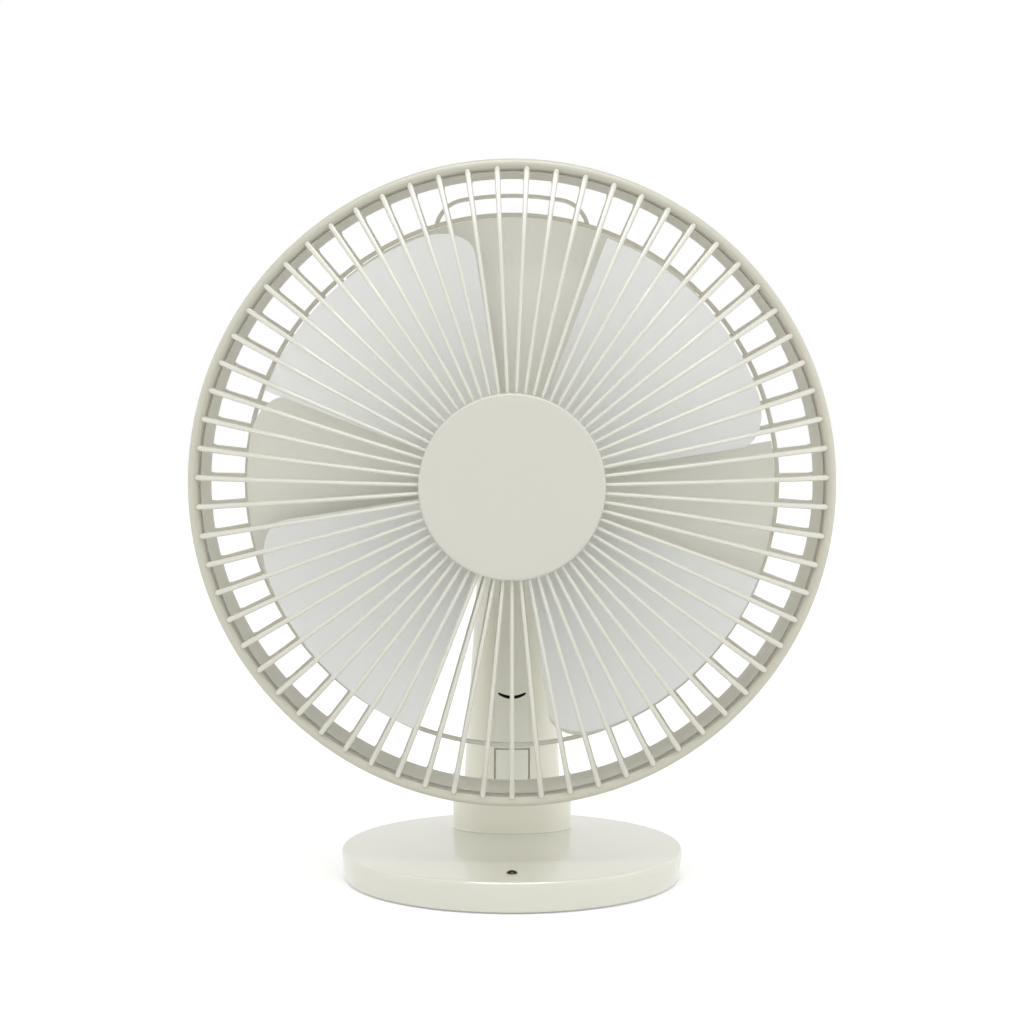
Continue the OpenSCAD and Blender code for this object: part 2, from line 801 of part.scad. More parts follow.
// A slab that follows the column's front face, from depth d0 to d1 behind it
module face_slab(w, low_z, high_z, d0, d1) {
    hull()
        for (z = [low_z, high_z - eps])
            translate([-w / 2, column_face_y(z) + d0, z]) cube([w, d1 - d0, eps]);
}

module column_shell() {
    difference() {
        union() {
            column_body(base_top_z, shoulder_z, 0);
            translate([-knuckle_w / 2, column_y - neck_d / 2, shoulder_z - 1])
                cube([knuckle_w, neck_d, axis_h - shoulder_z + 1]);
            on_bolt() translate([0, 0, -knuckle_w / 2]) cylinder(r = knuckle_r, h = knuckle_w);
        }
        column_body(cavity_low_z, cavity_top_z, column_wall);
        on_bolt() translate([0, 0, -knuckle_w / 2 - eps])
            cylinder(r = bush_r + 0.01, h = knuckle_w + 2 * eps);
        translate([0, column_y, base_top_z - eps])
            cylinder(r = lead_hole_r, h = shoulder_z + 3 - base_top_z);
    }
}

module front_half() {
    translate([-50, column_y - 50, 0]) cube([100, 50, axis_h + 50]);
}

// Screw bosses of the column, cut to its outline
module column_bosses() {
    intersection() {
        column_body(base_top_z, shoulder_z, column_wall / 2);
        for (x = [-column_screw_x, column_screw_x], z = column_screw_z)
            translate([x, column_y - 20, z]) rotate([-90, 0, 0]) cylinder(r = column_boss_r, h = 40);
    }
}

// Back face of the column at height z
function column_back_y(z) = 2 * column_y - column_face_y(z);

module column_front() {
    color(off_white) difference() {
        intersection() {
            union() {
                column_shell();
                column_bosses();
            }
            front_half();
        }
        face_slab(strip_w + 2 * seam, strip_low_z - seam, strip_high_z + seam, -1, strip_t + 0.05);
        for (x = [-foot_screw_x, foot_screw_x])
            translate([x, foot_screw_y, base_top_z - eps])
                cylinder(r = screw_r, h = foot_screw_l + 0.5);
        for (x = [-column_screw_x, column_screw_x], z = column_screw_z)
            translate([x, column_y + eps, z]) rotate([90, 0, 0])
                cylinder(r = screw_r, h = column_screw_bite + 0.5);
    }
}

module column_back() {
    color(off_white) difference() {
        union() {
            column_shell();
            column_bosses();
        }
        front_half();
        for (x = [-column_screw_x, column_screw_x], z = column_screw_z)
            translate([x, column_y - eps, z]) rotate([-90, 0, 0]) {
                cylinder(r = screw_r + fit_gap, h = column_foot_d);
                translate([0, 0, column_back_y(z) - column_y - column_screw_seat])
                    cylinder(r = screw_head_r + fit_gap, h = column_foot_d);
            }
    }
}

module column_screws() {
    color(steel)
        for (x = [-column_screw_x, column_screw_x], z = column_screw_z) {
            seat = column_back_y(z) - column_screw_seat;
            translate([x, seat, z]) rotate([-90, 0, 0])
                screw(screw_r - 0.02, screw_head_r, screw_head_t,
                    seat - column_y + column_screw_bite);
        }
}

module column_strip() {
    color(strip_grey) difference() {
        face_slab(strip_w, latch_top_z + seam, strip_high_z, 0, strip_t);
        translate([0, column_face_y(slot_z) + 5, slot_z + slot_r]) rotate([90, 0, 0])
            intersection() {
                tube(slot_r + slot_w / 2, slot_r - slot_w / 2, 10);
                translate([-slot_half, -slot_r - slot_w, -1]) cube([2 * slot_half, slot_r, 12]);
            }
    }
}

module strip_latch() {
    color(strip_grey) face_slab(strip_w, strip_low_z, latch_top_z, 0, strip_t);
}

module column_lead() {
    color([0.25, 0.25, 0.26]) translate([0, column_y, board_top_z])
        cylinder(r = lead_r, h = shoulder_z + 2.5 - board_top_z);
}

module collar() {
    color(off_white) translate([0, column_y, base_top_z]) linear_extrude(height = collar_h)
        difference() {
            oval(collar_w, collar_d);
            oval(column_foot_w + 2 * fit_gap, column_foot_d + 2 * fit_gap);
        }
}

module foot_screws() {
    color(steel)
        for (x = [-foot_screw_x, foot_screw_x])
            translate([x, foot_screw_y, plate_under_z]) rotate([180, 0, 0])
                screw(screw_r - 0.02, screw_head_r, screw_head_t, foot_screw_l + base_wall);
}

module base_shell() {
    side_r = base_r - 0.4;
    low_r = base_r - 1.3;
    difference() {
        rotate_extrude() polygon([
            [0, base_top_z], [side_r - 0.5, base_top_z], [base_r - 0.15, base_top_z - 0.3],
            [base_r, base_top_z - 0.8], [base_r, base_top_z - 1.3], [side_r, base_top_z - 1.7],
            [low_r, foot_h + 1.2], [low_r - 0.3, foot_h + 0.4], [low_r - 0.9, foot_h], [0, foot_h]
        ]);
        translate([0, 0, foot_h - eps]) cylinder(r = base_in_r, h = base_h - base_wall + eps);
    }
}

module on_base_screws() {
    for (a = base_screw_angles)
        rotate(a) translate([base_screw_ring, 0, 0]) children();
}

module on_feet() {
    for (a = [45:90:315])
        rotate(a) translate([foot_ring, 0, 0]) children();
}

module base_top() {
    color(off_white) difference() {
        union() {
            base_shell();
            on_base_screws() translate([0, 0, cover_top_z])
                cylinder(r = base_boss_r, h = plate_under_z - cover_top_z + eps);
        }
        on_base_screws() translate([0, 0, cover_top_z - eps]) cylinder(r = screw_r, h = 4);
        translate([0, -lamp_y, 0]) cylinder(r = lamp_r + fit_gap / 3, h = base_top_z + 1);
        translate([0, column_y, 0]) cylinder(r = lead_hole_r, h = base_top_z + 1);
        for (x = [-foot_screw_x, foot_screw_x])
            translate([x, foot_screw_y, 0]) cylinder(r = screw_r + fit_gap, h = base_top_z + 1);
        translate([-inlet_w / 2 - fit_gap, base_r - 8, board_top_z - eps])
            cube([inlet_w + 2 * fit_gap, 10, inlet_h + fit_gap + eps]);
        translate([button_x, button_in_y, button_z]) rotate([-90, 0, 0])
            cylinder(r = button_r + fit_gap, h = 2 * button_l);
    }
}

module base_bottom() {
    color(off_white) difference() {
        translate([0, 0, foot_h]) cylinder(r = base_in_r - fit_gap, h = cover_t);
        on_base_screws() translate([0, 0, foot_h - eps])
            cylinder(r = screw_r + fit_gap, h = cover_t + 2 * eps);
        on_base_screws() translate([0, 0, foot_h - eps])
            cylinder(r = screw_head_r + fit_gap, h = base_screw_sink + eps);
        on_feet() translate([0, 0, foot_h - eps])
            cylinder(r = foot_r + fit_gap, h = foot_recess + eps);
    }
    color(off_white)
        for (x = [-board_half_w + 2.5, board_half_w - 2.5], y = [board_front_y + 3, board_back_y - 4])
            translate([x, y, cover_top_z - eps]) cylinder(r = 1.8, h = board_low_z - cover_top_z + eps);
}

module base_screws() {
    color(steel) on_base_screws() translate([0, 0, foot_h + base_screw_sink]) rotate([180, 0, 0])
        screw(screw_r - 0.02, screw_head_r, base_screw_sink, 4.2);
}

module rubber_feet() {
    color([0.35, 0.35, 0.35]) on_feet() cylinder(r = foot_r, h = foot_t);
}

module ballast_plate() {
    color(steel) translate([0, 0, cover_top_z]) difference() {
        cylinder(r = ballast_r, h = ballast_t);
        translate([-ballast_cut_half, ballast_cut_y, -eps])
            cube([2 * ballast_cut_half, ballast_r, ballast_t + 2 * eps]);
    }
}

module control_board() {
    color([0.16, 0.42, 0.3]) {
        difference() {
            translate([-board_half_w, board_front_y, board_low_z])
                cube([2 * board_half_w, board_back_y - board_front_y, board_t]);
            translate([board_cut_x, board_cut_y, board_low_z - eps])
                cube([board_half_w, board_half_w, board_t + 2 * eps]);
        }
        translate([ribbon_x - 3, board_front_y, board_top_z - eps])
            cube([6, 3, ballast_top_z - board_top_z + ribbon_t + 0.6]);
    }
}

module lamp_board() {
    color([0.16, 0.42, 0.3]) translate([0, -lamp_y, ballast_top_z]) {
        translate([-9, -4, 0]) cube([14, 8, lamp_board_t]);
        translate([-1.2, -1.2, lamp_board_t - eps]) cube([2.4, 2.4, lamp_chip_h]);
    }
}

module lamp_lens() {
    low = ballast_top_z + lamp_board_t + lamp_chip_h;
    color([0.12, 0.03, 0.03]) translate([0, -lamp_y, 0]) {
        translate([0, 0, low]) cylinder(r = lamp_r, h = base_top_z - 0.1 - low);
        translate([0, 0, low]) cylinder(r = lamp_r + 0.6, h = plate_under_z - low);
    }
}

module lamp_ribbon() {
    front = -lamp_y + 4;
    color([0.6, 0.6, 0.6]) translate([ribbon_x - 1.5, front, ballast_top_z])
        cube([3, board_front_y - front, ribbon_t]);
}

module power_inlet() {
    wall = 0.35;
    color(steel) translate([-inlet_w / 2, inlet_mouth_y - inlet_l, board_top_z]) difference() {
        cube([inlet_w, inlet_l, inlet_h]);
        translate([wall, 1.2, wall]) cube([inlet_w - 2 * wall, inlet_l, inlet_h - 2 * wall]);
    }
    color([0.1, 0.1, 0.1])
        translate([-inlet_w / 2 + 1.1, inlet_mouth_y - inlet_l + 1, board_top_z + inlet_h / 2 - 0.35])
            cube([inlet_w - 2.2, inlet_l - 2, 0.7]);
}

module power_button() {
    color([0.75, 0.75, 0.72]) translate([button_x, button_in_y, button_z]) rotate([-90, 0, 0]) {
        cylinder(r = button_r, h = button_out_y - button_in_y);
        cylinder(r = button_r + button_flange_w, h = button_flange_t);
    }
}

module button_switch() {
    color([0.2, 0.2, 0.2]) {
        translate([button_x - 2.5, switch_face_y - switch_l, board_top_z]) cube([5, switch_l, 2.8]);
        translate([button_x, switch_face_y - eps, button_z]) rotate([-90, 0, 0])
            cylinder(r = 0.9, h = switch_pin + eps);
    }
}

front_guard();
guard_cap();
rear_guard();
motor_housing();
housing_screws();
driver_board();
axle();
axle_circlip();
spacer_sleeve();
thrust_washers();
front_stator_core();
front_coils();
rear_stator_core();
rear_coils();
front_rotor();
front_magnet_ring();
front_bearings();
rear_rotor();
rear_magnet_ring();
rear_bearings();
tilt_bolt();
tilt_nut();
tilt_bush();
friction_washers();
column_front();
column_back();
column_screws();
column_strip();
strip_latch();
column_lead();
collar();
foot_screws();
base_top();
base_bottom();
base_screws();
rubber_feet();
ballast_plate();
control_board();
lamp_board();
lamp_lens();
lamp_ribbon();
power_inlet();
power_button();
button_switch();
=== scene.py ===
"""Desk fan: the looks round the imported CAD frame. Metres, +Z up, the fan blows towards -Y."""

import json
import math

import bpy
import bmesh
from mathutils import Matrix, Vector


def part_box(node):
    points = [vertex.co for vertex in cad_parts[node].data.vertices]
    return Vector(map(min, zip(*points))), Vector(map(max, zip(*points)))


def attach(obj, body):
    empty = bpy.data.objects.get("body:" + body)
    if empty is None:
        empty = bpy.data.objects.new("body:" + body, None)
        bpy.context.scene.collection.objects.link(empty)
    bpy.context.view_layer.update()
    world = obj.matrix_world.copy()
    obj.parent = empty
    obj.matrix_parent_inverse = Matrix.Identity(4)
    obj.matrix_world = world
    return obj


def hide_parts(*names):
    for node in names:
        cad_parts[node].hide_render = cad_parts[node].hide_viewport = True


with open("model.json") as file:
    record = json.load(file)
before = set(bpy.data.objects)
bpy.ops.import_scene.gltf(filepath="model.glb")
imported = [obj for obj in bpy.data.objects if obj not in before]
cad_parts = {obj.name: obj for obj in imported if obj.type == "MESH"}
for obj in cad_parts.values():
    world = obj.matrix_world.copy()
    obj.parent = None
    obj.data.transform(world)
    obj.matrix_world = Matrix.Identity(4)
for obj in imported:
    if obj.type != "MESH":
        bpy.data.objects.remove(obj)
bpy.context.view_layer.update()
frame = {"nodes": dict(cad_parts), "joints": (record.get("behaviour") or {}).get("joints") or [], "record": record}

MM = 0.001
TURN = 2 * math.pi


# ---------------------------------------------------------------- places from the frame

joints = {joint["name"]: joint for joint in frame["joints"]}
PIVOT = Vector(joints["head_tilt"]["pos_m"])
# From the tilt bolt forwards to the head's zero plane, and from there to the guard's rim.
HEAD_REACH = 25 * MM
RING_AHEAD = 30 * MM
BACKWARDS = Matrix.Rotation(-math.pi / 2, 4, "X")
FORWARDS = Matrix.Rotation(math.pi / 2, 4, "X")
HEAD = Matrix.Translation((0, PIVOT.y - HEAD_REACH, PIVOT.z)) @ FORWARDS
COLUMN_Y = PIVOT.y
GUARD_R = (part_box("front_guard")[1].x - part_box("front_guard")[0].x) / 2
BASE_TOP_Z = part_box("base_top")[1].z
BASE_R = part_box("base_top")[1].x


# ---------------------------------------------------------------- camera

CAMERA_DISTANCE = 549.8 * MM
CAMERA_HEIGHT = 129.1 * MM
CAMERA_FOCAL = 76
CAMERA_PITCH = math.radians(3.02)
CAMERA_Y = PIVOT.y - HEAD_REACH - RING_AHEAD - CAMERA_DISTANCE


def make_camera():
    data = bpy.data.cameras.new("camera")
    data.lens = CAMERA_FOCAL
    data.sensor_width = 36
    data.clip_start = 0.01
    camera = bpy.data.objects.new("camera", data)
    camera.location = (0, CAMERA_Y, CAMERA_HEIGHT)
    camera.rotation_euler = (math.pi / 2 - CAMERA_PITCH, 0, 0)
    bpy.context.scene.collection.objects.link(camera)
    bpy.context.scene.camera = camera


make_camera()


# ---------------------------------------------------------------- materials

DRIFT_SCALE = 32
FLOW_SCALE = DRIFT_SCALE * 2.3
GRAIN_SCALE = 1100
GRAIN_DEPTH = 0.01 * MM
COAT_ROUGHNESS = 0.06
NOISE_LOW = 0.3
NOISE_HIGH = 0.7


def node_material(name):
    material = bpy.data.materials.new(name)
    material.use_nodes = True
    tree = material.node_tree
    shader = tree.nodes["Principled BSDF"]
    return material, tree, shader


def noise(tree, scale, detail, coordinates):
    texture = tree.nodes.new("ShaderNodeTexNoise")
    texture.inputs["Scale"].default_value = scale
    texture.inputs["Detail"].default_value = detail
    tree.links.new(coordinates.outputs["Object"], texture.inputs["Vector"])
    return texture


def ramp(tree, source, low, high):
    """Spreads a noise over the values from low to high."""
    node = tree.nodes.new("ShaderNodeMapRange")
    node.inputs["From Min"].default_value = NOISE_LOW
    node.inputs["From Max"].default_value = NOISE_HIGH
    node.inputs["To Min"].default_value = low
    node.inputs["To Max"].default_value = high
    tree.links.new(source, node.inputs["Value"])
    return node


def moulded(name, colour, roughness, spread=0.03, shade=0.997, coat=0.0, grain=0.05, metallic=0.0,
            specular=0.5):
    """Moulded plastic or plain metal, with a fine grain.

    Its colour drifts slowly between the colour and shade times it, and flow marks make its
    roughness up to spread higher.
    """
    material, tree, shader = node_material(name)
    place = tree.nodes.new("ShaderNodeTexCoord")
    drift = noise(tree, DRIFT_SCALE, 3, place)
    blend = tree.nodes.new("ShaderNodeMix")
    blend.data_type = "RGBA"
    blend.inputs["A"].default_value = (*colour, 1)
    blend.inputs["B"].default_value = (*[c * shade for c in colour], 1)
    amount = ramp(tree, drift.outputs["Fac"], 0, 1)
    tree.links.new(amount.outputs["Result"], blend.inputs["Factor"])
    tree.links.new(blend.outputs["Result"], shader.inputs["Base Color"])
    flow = noise(tree, FLOW_SCALE, 2, place)
    rough = ramp(tree, flow.outputs["Fac"], roughness, roughness + spread)
    tree.links.new(rough.outputs["Result"], shader.inputs["Roughness"])
    fine = noise(tree, GRAIN_SCALE, 1, place)
    bump = tree.nodes.new("ShaderNodeBump")
    bump.inputs["Strength"].default_value = grain
    bump.inputs["Distance"].default_value = GRAIN_DEPTH
    tree.links.new(fine.outputs["Fac"], bump.inputs["Height"])
    tree.links.new(bump.outputs["Normal"], shader.inputs["Normal"])
    shader.inputs["Metallic"].default_value = metallic
    shader.inputs["Specular IOR Level"].default_value = specular
    shader.inputs["Coat Weight"].default_value = coat
    shader.inputs["Coat Roughness"].default_value = COAT_ROUGHNESS
    return material


def srgb(red, green, blue):
    """Linear colour of an 8-bit sRGB one."""
    def linear(value):
        value /= 255
        return value / 12.92 if value <= 0.04045 else ((value + 0.055) / 1.055) ** 2.4
    return tuple(linear(v) for v in (red, green, blue))


CASING = moulded("casing_gloss", srgb(211, 210, 196), 0.2, coat=0.3)
# A lighter copy of the casing colour for the rear guard: painted light against the shade inside the guard.
GUARD_MATT_PAINTED_LIGHT = moulded("casing_matt_painted_light", srgb(225, 223, 212), 0.62, specular=0.15)
# The cap's colour is a darker copy of the casing colour: painted shade.
CAP_PAINTED_SHADE = moulded("cap_satin_painted_shade", srgb(197, 197, 187), 0.42, specular=0.3)
# The bead's colour is a darker copy of the casing colour: painted shade.
BEAD_PAINTED_SHADE = moulded("bead_satin_painted_shade", srgb(191, 189, 174), 0.42, specular=0.3)
SPOKE_SATIN = moulded("spoke_satin", srgb(209, 208, 197), 0.34, specular=0.4)
BASE_CASING = moulded("base_gloss", srgb(211, 211, 199), 0.2, coat=0.3)
# A lighter copy of the casing colour for the column and collar: painted light against the shade under the head.
COLUMN_PAINTED_LIGHT = moulded("column_gloss_painted_light", srgb(228, 227, 214), 0.28, coat=0.2)
UNDERSIDE = moulded("underside_texture", srgb(208, 207, 194), 0.5, spread=0.12, shade=0.96, grain=0.6)
# The front blades are a whiter plastic than the casing, made lighter still as painted light against the spokes'
# shade.
FRONT_BLADE_WHITE_PAINTED_LIGHT = moulded("front_blade_white_and_painted_light", srgb(229, 230, 228), 0.34)
# Lighter than the casing: painted light against the shade behind the front rotor.
REAR_BLADE_PAINTED_LIGHT = moulded("rear_blade_satin_painted_light", srgb(233, 232, 222), 0.36)
# The strip and latch are as light as the column: painted light against the shade behind the guard.
STRIP_PAINTED_LIGHT = moulded("strip_satin_painted_light", srgb(228, 228, 220), 0.36)
BUTTON = moulded("button_satin", srgb(203, 203, 192), 0.38)
DARK_PLASTIC = moulded("dark_plastic", srgb(52, 52, 54), 0.45, spread=0.15, shade=0.9)
# Black for the floor of the strip's crescent slot: painted shade, where the slot holds only shadow.
SLOT_PAINTED_SHADE = moulded("slot_painted_shade_black", srgb(16, 16, 16), 0.6, spread=0.1, shade=0.8, specular=0.1)
LENS = moulded("lens_red", srgb(46, 12, 10), 0.14, spread=0.05, shade=0.6, specular=0.25)
BOARD = moulded("board_green", srgb(40, 104, 70), 0.35, spread=0.15, shade=0.85)
STEEL = moulded("plated_steel", srgb(196, 198, 200), 0.28, spread=0.16, shade=0.9, metallic=1.0)
CORE_STEEL = moulded("core_steel", srgb(120, 122, 126), 0.4, spread=0.2, shade=0.85, metallic=1.0)
BRONZE = moulded("sintered_bronze", srgb(188, 150, 92), 0.42, spread=0.2, shade=0.85, metallic=1.0)
COPPER = moulded("enamelled_copper", srgb(190, 104, 60), 0.3, spread=0.15, shade=0.8, metallic=1.0)
RUBBER = moulded("matt_rubber", srgb(60, 60, 62), 0.7, spread=0.15, shade=0.9, grain=0.8)

SLOT_MATERIALS = {
    "casing": CASING, "underside": UNDERSIDE, "front_blades": FRONT_BLADE_WHITE_PAINTED_LIGHT,
    "rear_blades": REAR_BLADE_PAINTED_LIGHT, "strip": STRIP_PAINTED_LIGHT, "button": BUTTON, "dark_plastic": DARK_PLASTIC,
    "lens": LENS, "board": BOARD, "steel": STEEL, "core_steel": CORE_STEEL, "bronze": BRONZE,
    "copper": COPPER, "dark_rubber": RUBBER,
}


def dress_cad_nodes():
    for part in frame["record"]["subparts"]:
        mesh = frame["nodes"][part["node"]].data
        mesh.materials.clear()
        mesh.materials.append(SLOT_MATERIALS[part["material_slot"]])


dress_cad_nodes()


# ---------------------------------------------------------------- mesh helpers

ON_AXIS = 1e-9


def mix(low, high, share):
    """The value at share of the way from low to high."""
    return low + (high - low) * share


def eased(share):
    """The share with a soft start and a soft end."""
    return share * share * (3 - 2 * share)


def rounded(points, radii, steps=5):
    """A profile whose corners are arcs of the given radii."""
    result = []
    count = len(points)
    for i, (point, radius) in enumerate(zip(points, radii)):
        here = Vector(point)
        if radius <= 0:
            result.append(here)
            continue
        before = (Vector(points[i - 1]) - here).normalized()
        after = (Vector(points[(i + 1) % count]) - here).normalized()
        half = before.angle(after) / 2
        cut = radius / math.tan(half)
        centre = here + (before + after).normalized() * radius / math.sin(half)
        start = here + before * cut - centre
        end = here + after * cut - centre
        sweep = start.angle_signed(end)
        for step in range(steps + 1):
            turn = Matrix.Rotation(-sweep * step / steps, 2)
            result.append(centre + turn @ start)
    return result


def lathe(mesh, profile, segments=256, closed=True):
    """Turns a profile of (radius, height) about local Z. An open profile may end on the axis."""
    rings = []
    for point in profile:
        if point[0] < ON_AXIS:
            rings.append([mesh.verts.new((0, 0, point[1]))])
            continue
        rings.append([
            mesh.verts.new((point[0] * math.cos(TURN * i / segments),
                            point[0] * math.sin(TURN * i / segments), point[1]))
            for i in range(segments)
        ])
    pairs = list(zip(rings, rings[1:]))
    if closed:
        pairs.append((rings[-1], rings[0]))
    for low, high in pairs:
        for i in range(segments):
            j = (i + 1) % segments
            corners = [low[i % len(low)], low[j % len(low)], high[j % len(high)], high[i % len(high)]]
            corners = [v for k, v in enumerate(corners) if v not in corners[:k]]
            mesh.faces.new(corners)


def skin(mesh, loops, capped=True):
    """Joins equal loops of points into one tube, closed at both ends unless capped is False."""
    rings = [[mesh.verts.new(point) for point in loop] for loop in loops]
    count = len(rings[0])
    for low, high in zip(rings, rings[1:]):
        for i in range(count):
            j = (i + 1) % count
            mesh.faces.new((low[i], low[j], high[j], high[i]))
    if capped:
        mesh.faces.new(reversed(rings[0]))
        mesh.faces.new(rings[-1])


def oval_section(width, depth, points, squareness=2.6):
    """Points of a rounded bar's section, as (across, up)."""
    section = []
    for i in range(points):
        angle = TURN * (i + 0.5) / points
        c, s = math.cos(angle), math.sin(angle)
        section.append((
            math.copysign(abs(c) ** (2 / squareness), c) * width / 2,
            math.copysign(abs(s) ** (2 / squareness), s) * depth / 2,
        ))
    return section


def soften(piece, width, sharp=40, segments=3):
    """Small rounded edges, shaded smoothly."""
    modifier = piece.modifiers.new("edges", "BEVEL")
    modifier.width = width
    modifier.segments = segments
    modifier.limit_method = "ANGLE"
    modifier.angle_limit = math.radians(sharp)
    piece.data.shade_smooth()
    piece.data.set_sharp_from_angle(angle=math.radians(sharp))


def finish_mesh(name, mesh, body, nodes, slot, place=HEAD, sharp=40, bevel=0.0, paint=None):
    """Makes the object, puts it in place, hangs it on its body and hides the frame's parts it stands in for.

    It gets its slot's material, or paint where that is given.
    """
    bmesh.ops.recalc_face_normals(mesh, faces=mesh.faces)
    data = bpy.data.meshes.new(name)
    mesh.to_mesh(data)
    mesh.free()
    data.transform(place)
    data.shade_smooth()
    data.set_sharp_from_angle(angle=math.radians(sharp))
    data.materials.append(paint or SLOT_MATERIALS[slot])
    piece = bpy.data.objects.new(name, data)
    bpy.context.scene.collection.objects.link(piece)
    if bevel:
        soften(piece, bevel, sharp)
    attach(piece, body)
    if nodes:
        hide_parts(*nodes)
    return piece


def carve(piece, cutter):
    """Cuts the cutter's shape out of the piece, and removes the cutter."""
    cut = piece.modifiers.new("cut", "BOOLEAN")
    cut.operation = "DIFFERENCE"
    cut.solver = "EXACT"
    cut.object = cutter
    bpy.context.view_layer.update()
    done = piece.evaluated_get(bpy.context.evaluated_depsgraph_get())
    data = bpy.data.meshes.new_from_object(done)
    piece.modifiers.remove(cut)
    piece.data = data
    bpy.data.objects.remove(cutter)


def cutter_from(mesh):
    """An object of the mesh, for carve to cut with and remove."""
    bmesh.ops.recalc_face_normals(mesh, faces=mesh.faces)
    data = bpy.data.meshes.new("cutter")
    mesh.to_mesh(data)
    mesh.free()
    cutter = bpy.data.objects.new("cutter", data)
    bpy.context.scene.collection.objects.link(cutter)
    return cutter


def placed(mesh, place, make, *values):
    """Runs make(mesh, *values), and moves what it made to place."""
    before = set(mesh.verts)
    make(mesh, *values)
    bmesh.ops.transform(mesh, matrix=place, verts=[v for v in mesh.verts if v not in before])


def rod(mesh, radius, low, high, segments=64):
    """A plain round bar along local Z."""
    lathe(mesh, [(0, low), (radius, low), (radius, high), (0, high)], segments, closed=False)


def stadium(width, height, points=10):
    """A flat loop of points with round ends, width across and height up."""
    r = height / 2
    loop = []
    for side in (1, -1):
        for i in range(points + 1):
            angle = math.radians(-90 + 180 * i / points) + (0 if side > 0 else math.pi)
            loop.append((side * (width / 2 - r) + r * math.cos(angle), r * math.sin(angle)))
    return loop


# ---------------------------------------------------------------- guards

SPOKES = 67
BEAD_W = 2.5 * MM
BEAD_BACK = 27.3 * MM
BEAD_FRONT = 31.5 * MM
WALL_IN_R = GUARD_R - BEAD_W - 0.5 * MM
WALL_OUT_R = WALL_IN_R + 2.2 * MM
WALL_FRONT = 27 * MM
GROOVE_R = WALL_IN_R + 0.22 * MM
GROOVE_W = 0.25 * MM
GROOVE_DEPTH = 0.4 * MM
CAP_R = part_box("guard_cap")[1].x
CAP_T = 2 * MM
CAP_SEAT_R = CAP_R - 0.5 * MM
CAP_SEAT_T = 1.8 * MM
SPOKE_ROOT_R = CAP_R - 1.5 * MM
SPOKE_END_R = GUARD_R - BEAD_W + 0.5 * MM
SPOKE_END_Z = 31.35 * MM
DOME_H = 11.7 * MM
DOME_TOP = SPOKE_END_Z + DOME_H
SPOKE_T = 2 * MM
SPOKE_CAP_W = 1.05 * MM
SPOKE_MID_GAIN = 0.15 * MM
SPOKE_RIM_GAIN = 0.35 * MM
SPOKE_TIP_R = SPOKE_END_R - 0.05 * MM
SPOKE_TIP = 0.9 * MM
SPOKE_TIP_LIFT = 0.35
PLATE_BACK = 1.5 * MM
PLATE_R = 25 * MM
PLATE_T = 2.5 * MM
PLATE_BORE_R = 3.2 * MM
REAR_RISE = 6.4 * MM
RIB_W = 1.2 * MM
RIB_T = 2 * MM
RIB_FLARE = 0.4 * MM
RING_R = 70.8 * MM
RING_W = 1.1 * MM


def spoke_angles():
    return [math.radians(270) + TURN * i / SPOKES for i in range(SPOKES)]


def dome_z(r):
    """Height of the spokes' outer faces at radius r."""
    share = (r - SPOKE_ROOT_R) / (SPOKE_END_R - SPOKE_ROOT_R)
    return SPOKE_END_Z + DOME_H * (1 - share ** 3)


def dish_z(r):
    """Height of the ribs' outer faces at radius r."""
    return PLATE_BACK + REAR_RISE * ((r - PLATE_R) / (WALL_IN_R - PLATE_R)) ** 2


def radial_bar(mesh, angle, stations, points=10):
    """A bar along a radius. Each station is (radius, middle height, width, depth)."""
    out = Vector((math.cos(angle), math.sin(angle), 0))
    across = Vector((-out.y, out.x, 0))
    up = Vector((0, 0, 1))
    loops = []
    for r, z, width, depth in stations:
        loops.append([
            out * r + across * a + up * (z + b) for a, b in oval_section(width, depth, points)
        ])
    skin(mesh, loops)


def front_spoke_stations():
    """A spoke from the cap to the bead, with a rounded tip."""
    steps = 24
    stations = []
    for i in range(steps + 1):
        share = i / steps
        r = mix(SPOKE_ROOT_R, SPOKE_TIP_R - SPOKE_TIP, share)
        width = SPOKE_CAP_W + SPOKE_MID_GAIN * share + SPOKE_RIM_GAIN * share ** 6
        stations.append((r, dome_z(r) - SPOKE_T / 2, width, SPOKE_T))
    r, z, width, depth = stations[-1]
    for angle in (20, 40, 58, 73, 86):
        shrink = math.cos(math.radians(angle))
        ahead = math.sin(math.radians(angle)) * SPOKE_TIP
        lift = depth * (1 - shrink) * SPOKE_TIP_LIFT
        stations.append((r + ahead, z + lift, width * shrink, depth * shrink))
    return stations


def make_bead():
    mesh = bmesh.new()
    inner = GUARD_R - BEAD_W - 0.1 * MM
    bead = rounded(
        [(inner, BEAD_BACK), (GUARD_R, BEAD_BACK), (GUARD_R, BEAD_FRONT - 0.9 * MM),
         (GUARD_R - 1.2 * MM, BEAD_FRONT), (inner, BEAD_FRONT - 0.8 * MM)],
        [0.15 * MM, 0.3 * MM, 1.1 * MM, 1.2 * MM, 0.5 * MM], steps=7)
    lathe(mesh, bead)
    finish_mesh("front_guard_bead", mesh, "head", ["front_guard"], "casing", paint=BEAD_PAINTED_SHADE)


def make_front_spokes():
    mesh = bmesh.new()
    stations = front_spoke_stations()
    for angle in spoke_angles():
        radial_bar(mesh, angle, stations)
    seat_z = DOME_TOP - CAP_SEAT_T
    seat = [(0, seat_z), (CAP_SEAT_R, seat_z), (CAP_SEAT_R, DOME_TOP), (0, DOME_TOP)]
    lathe(mesh, seat, closed=False)
    finish_mesh("front_guard_spokes", mesh, "head", [], "casing", paint=SPOKE_SATIN)


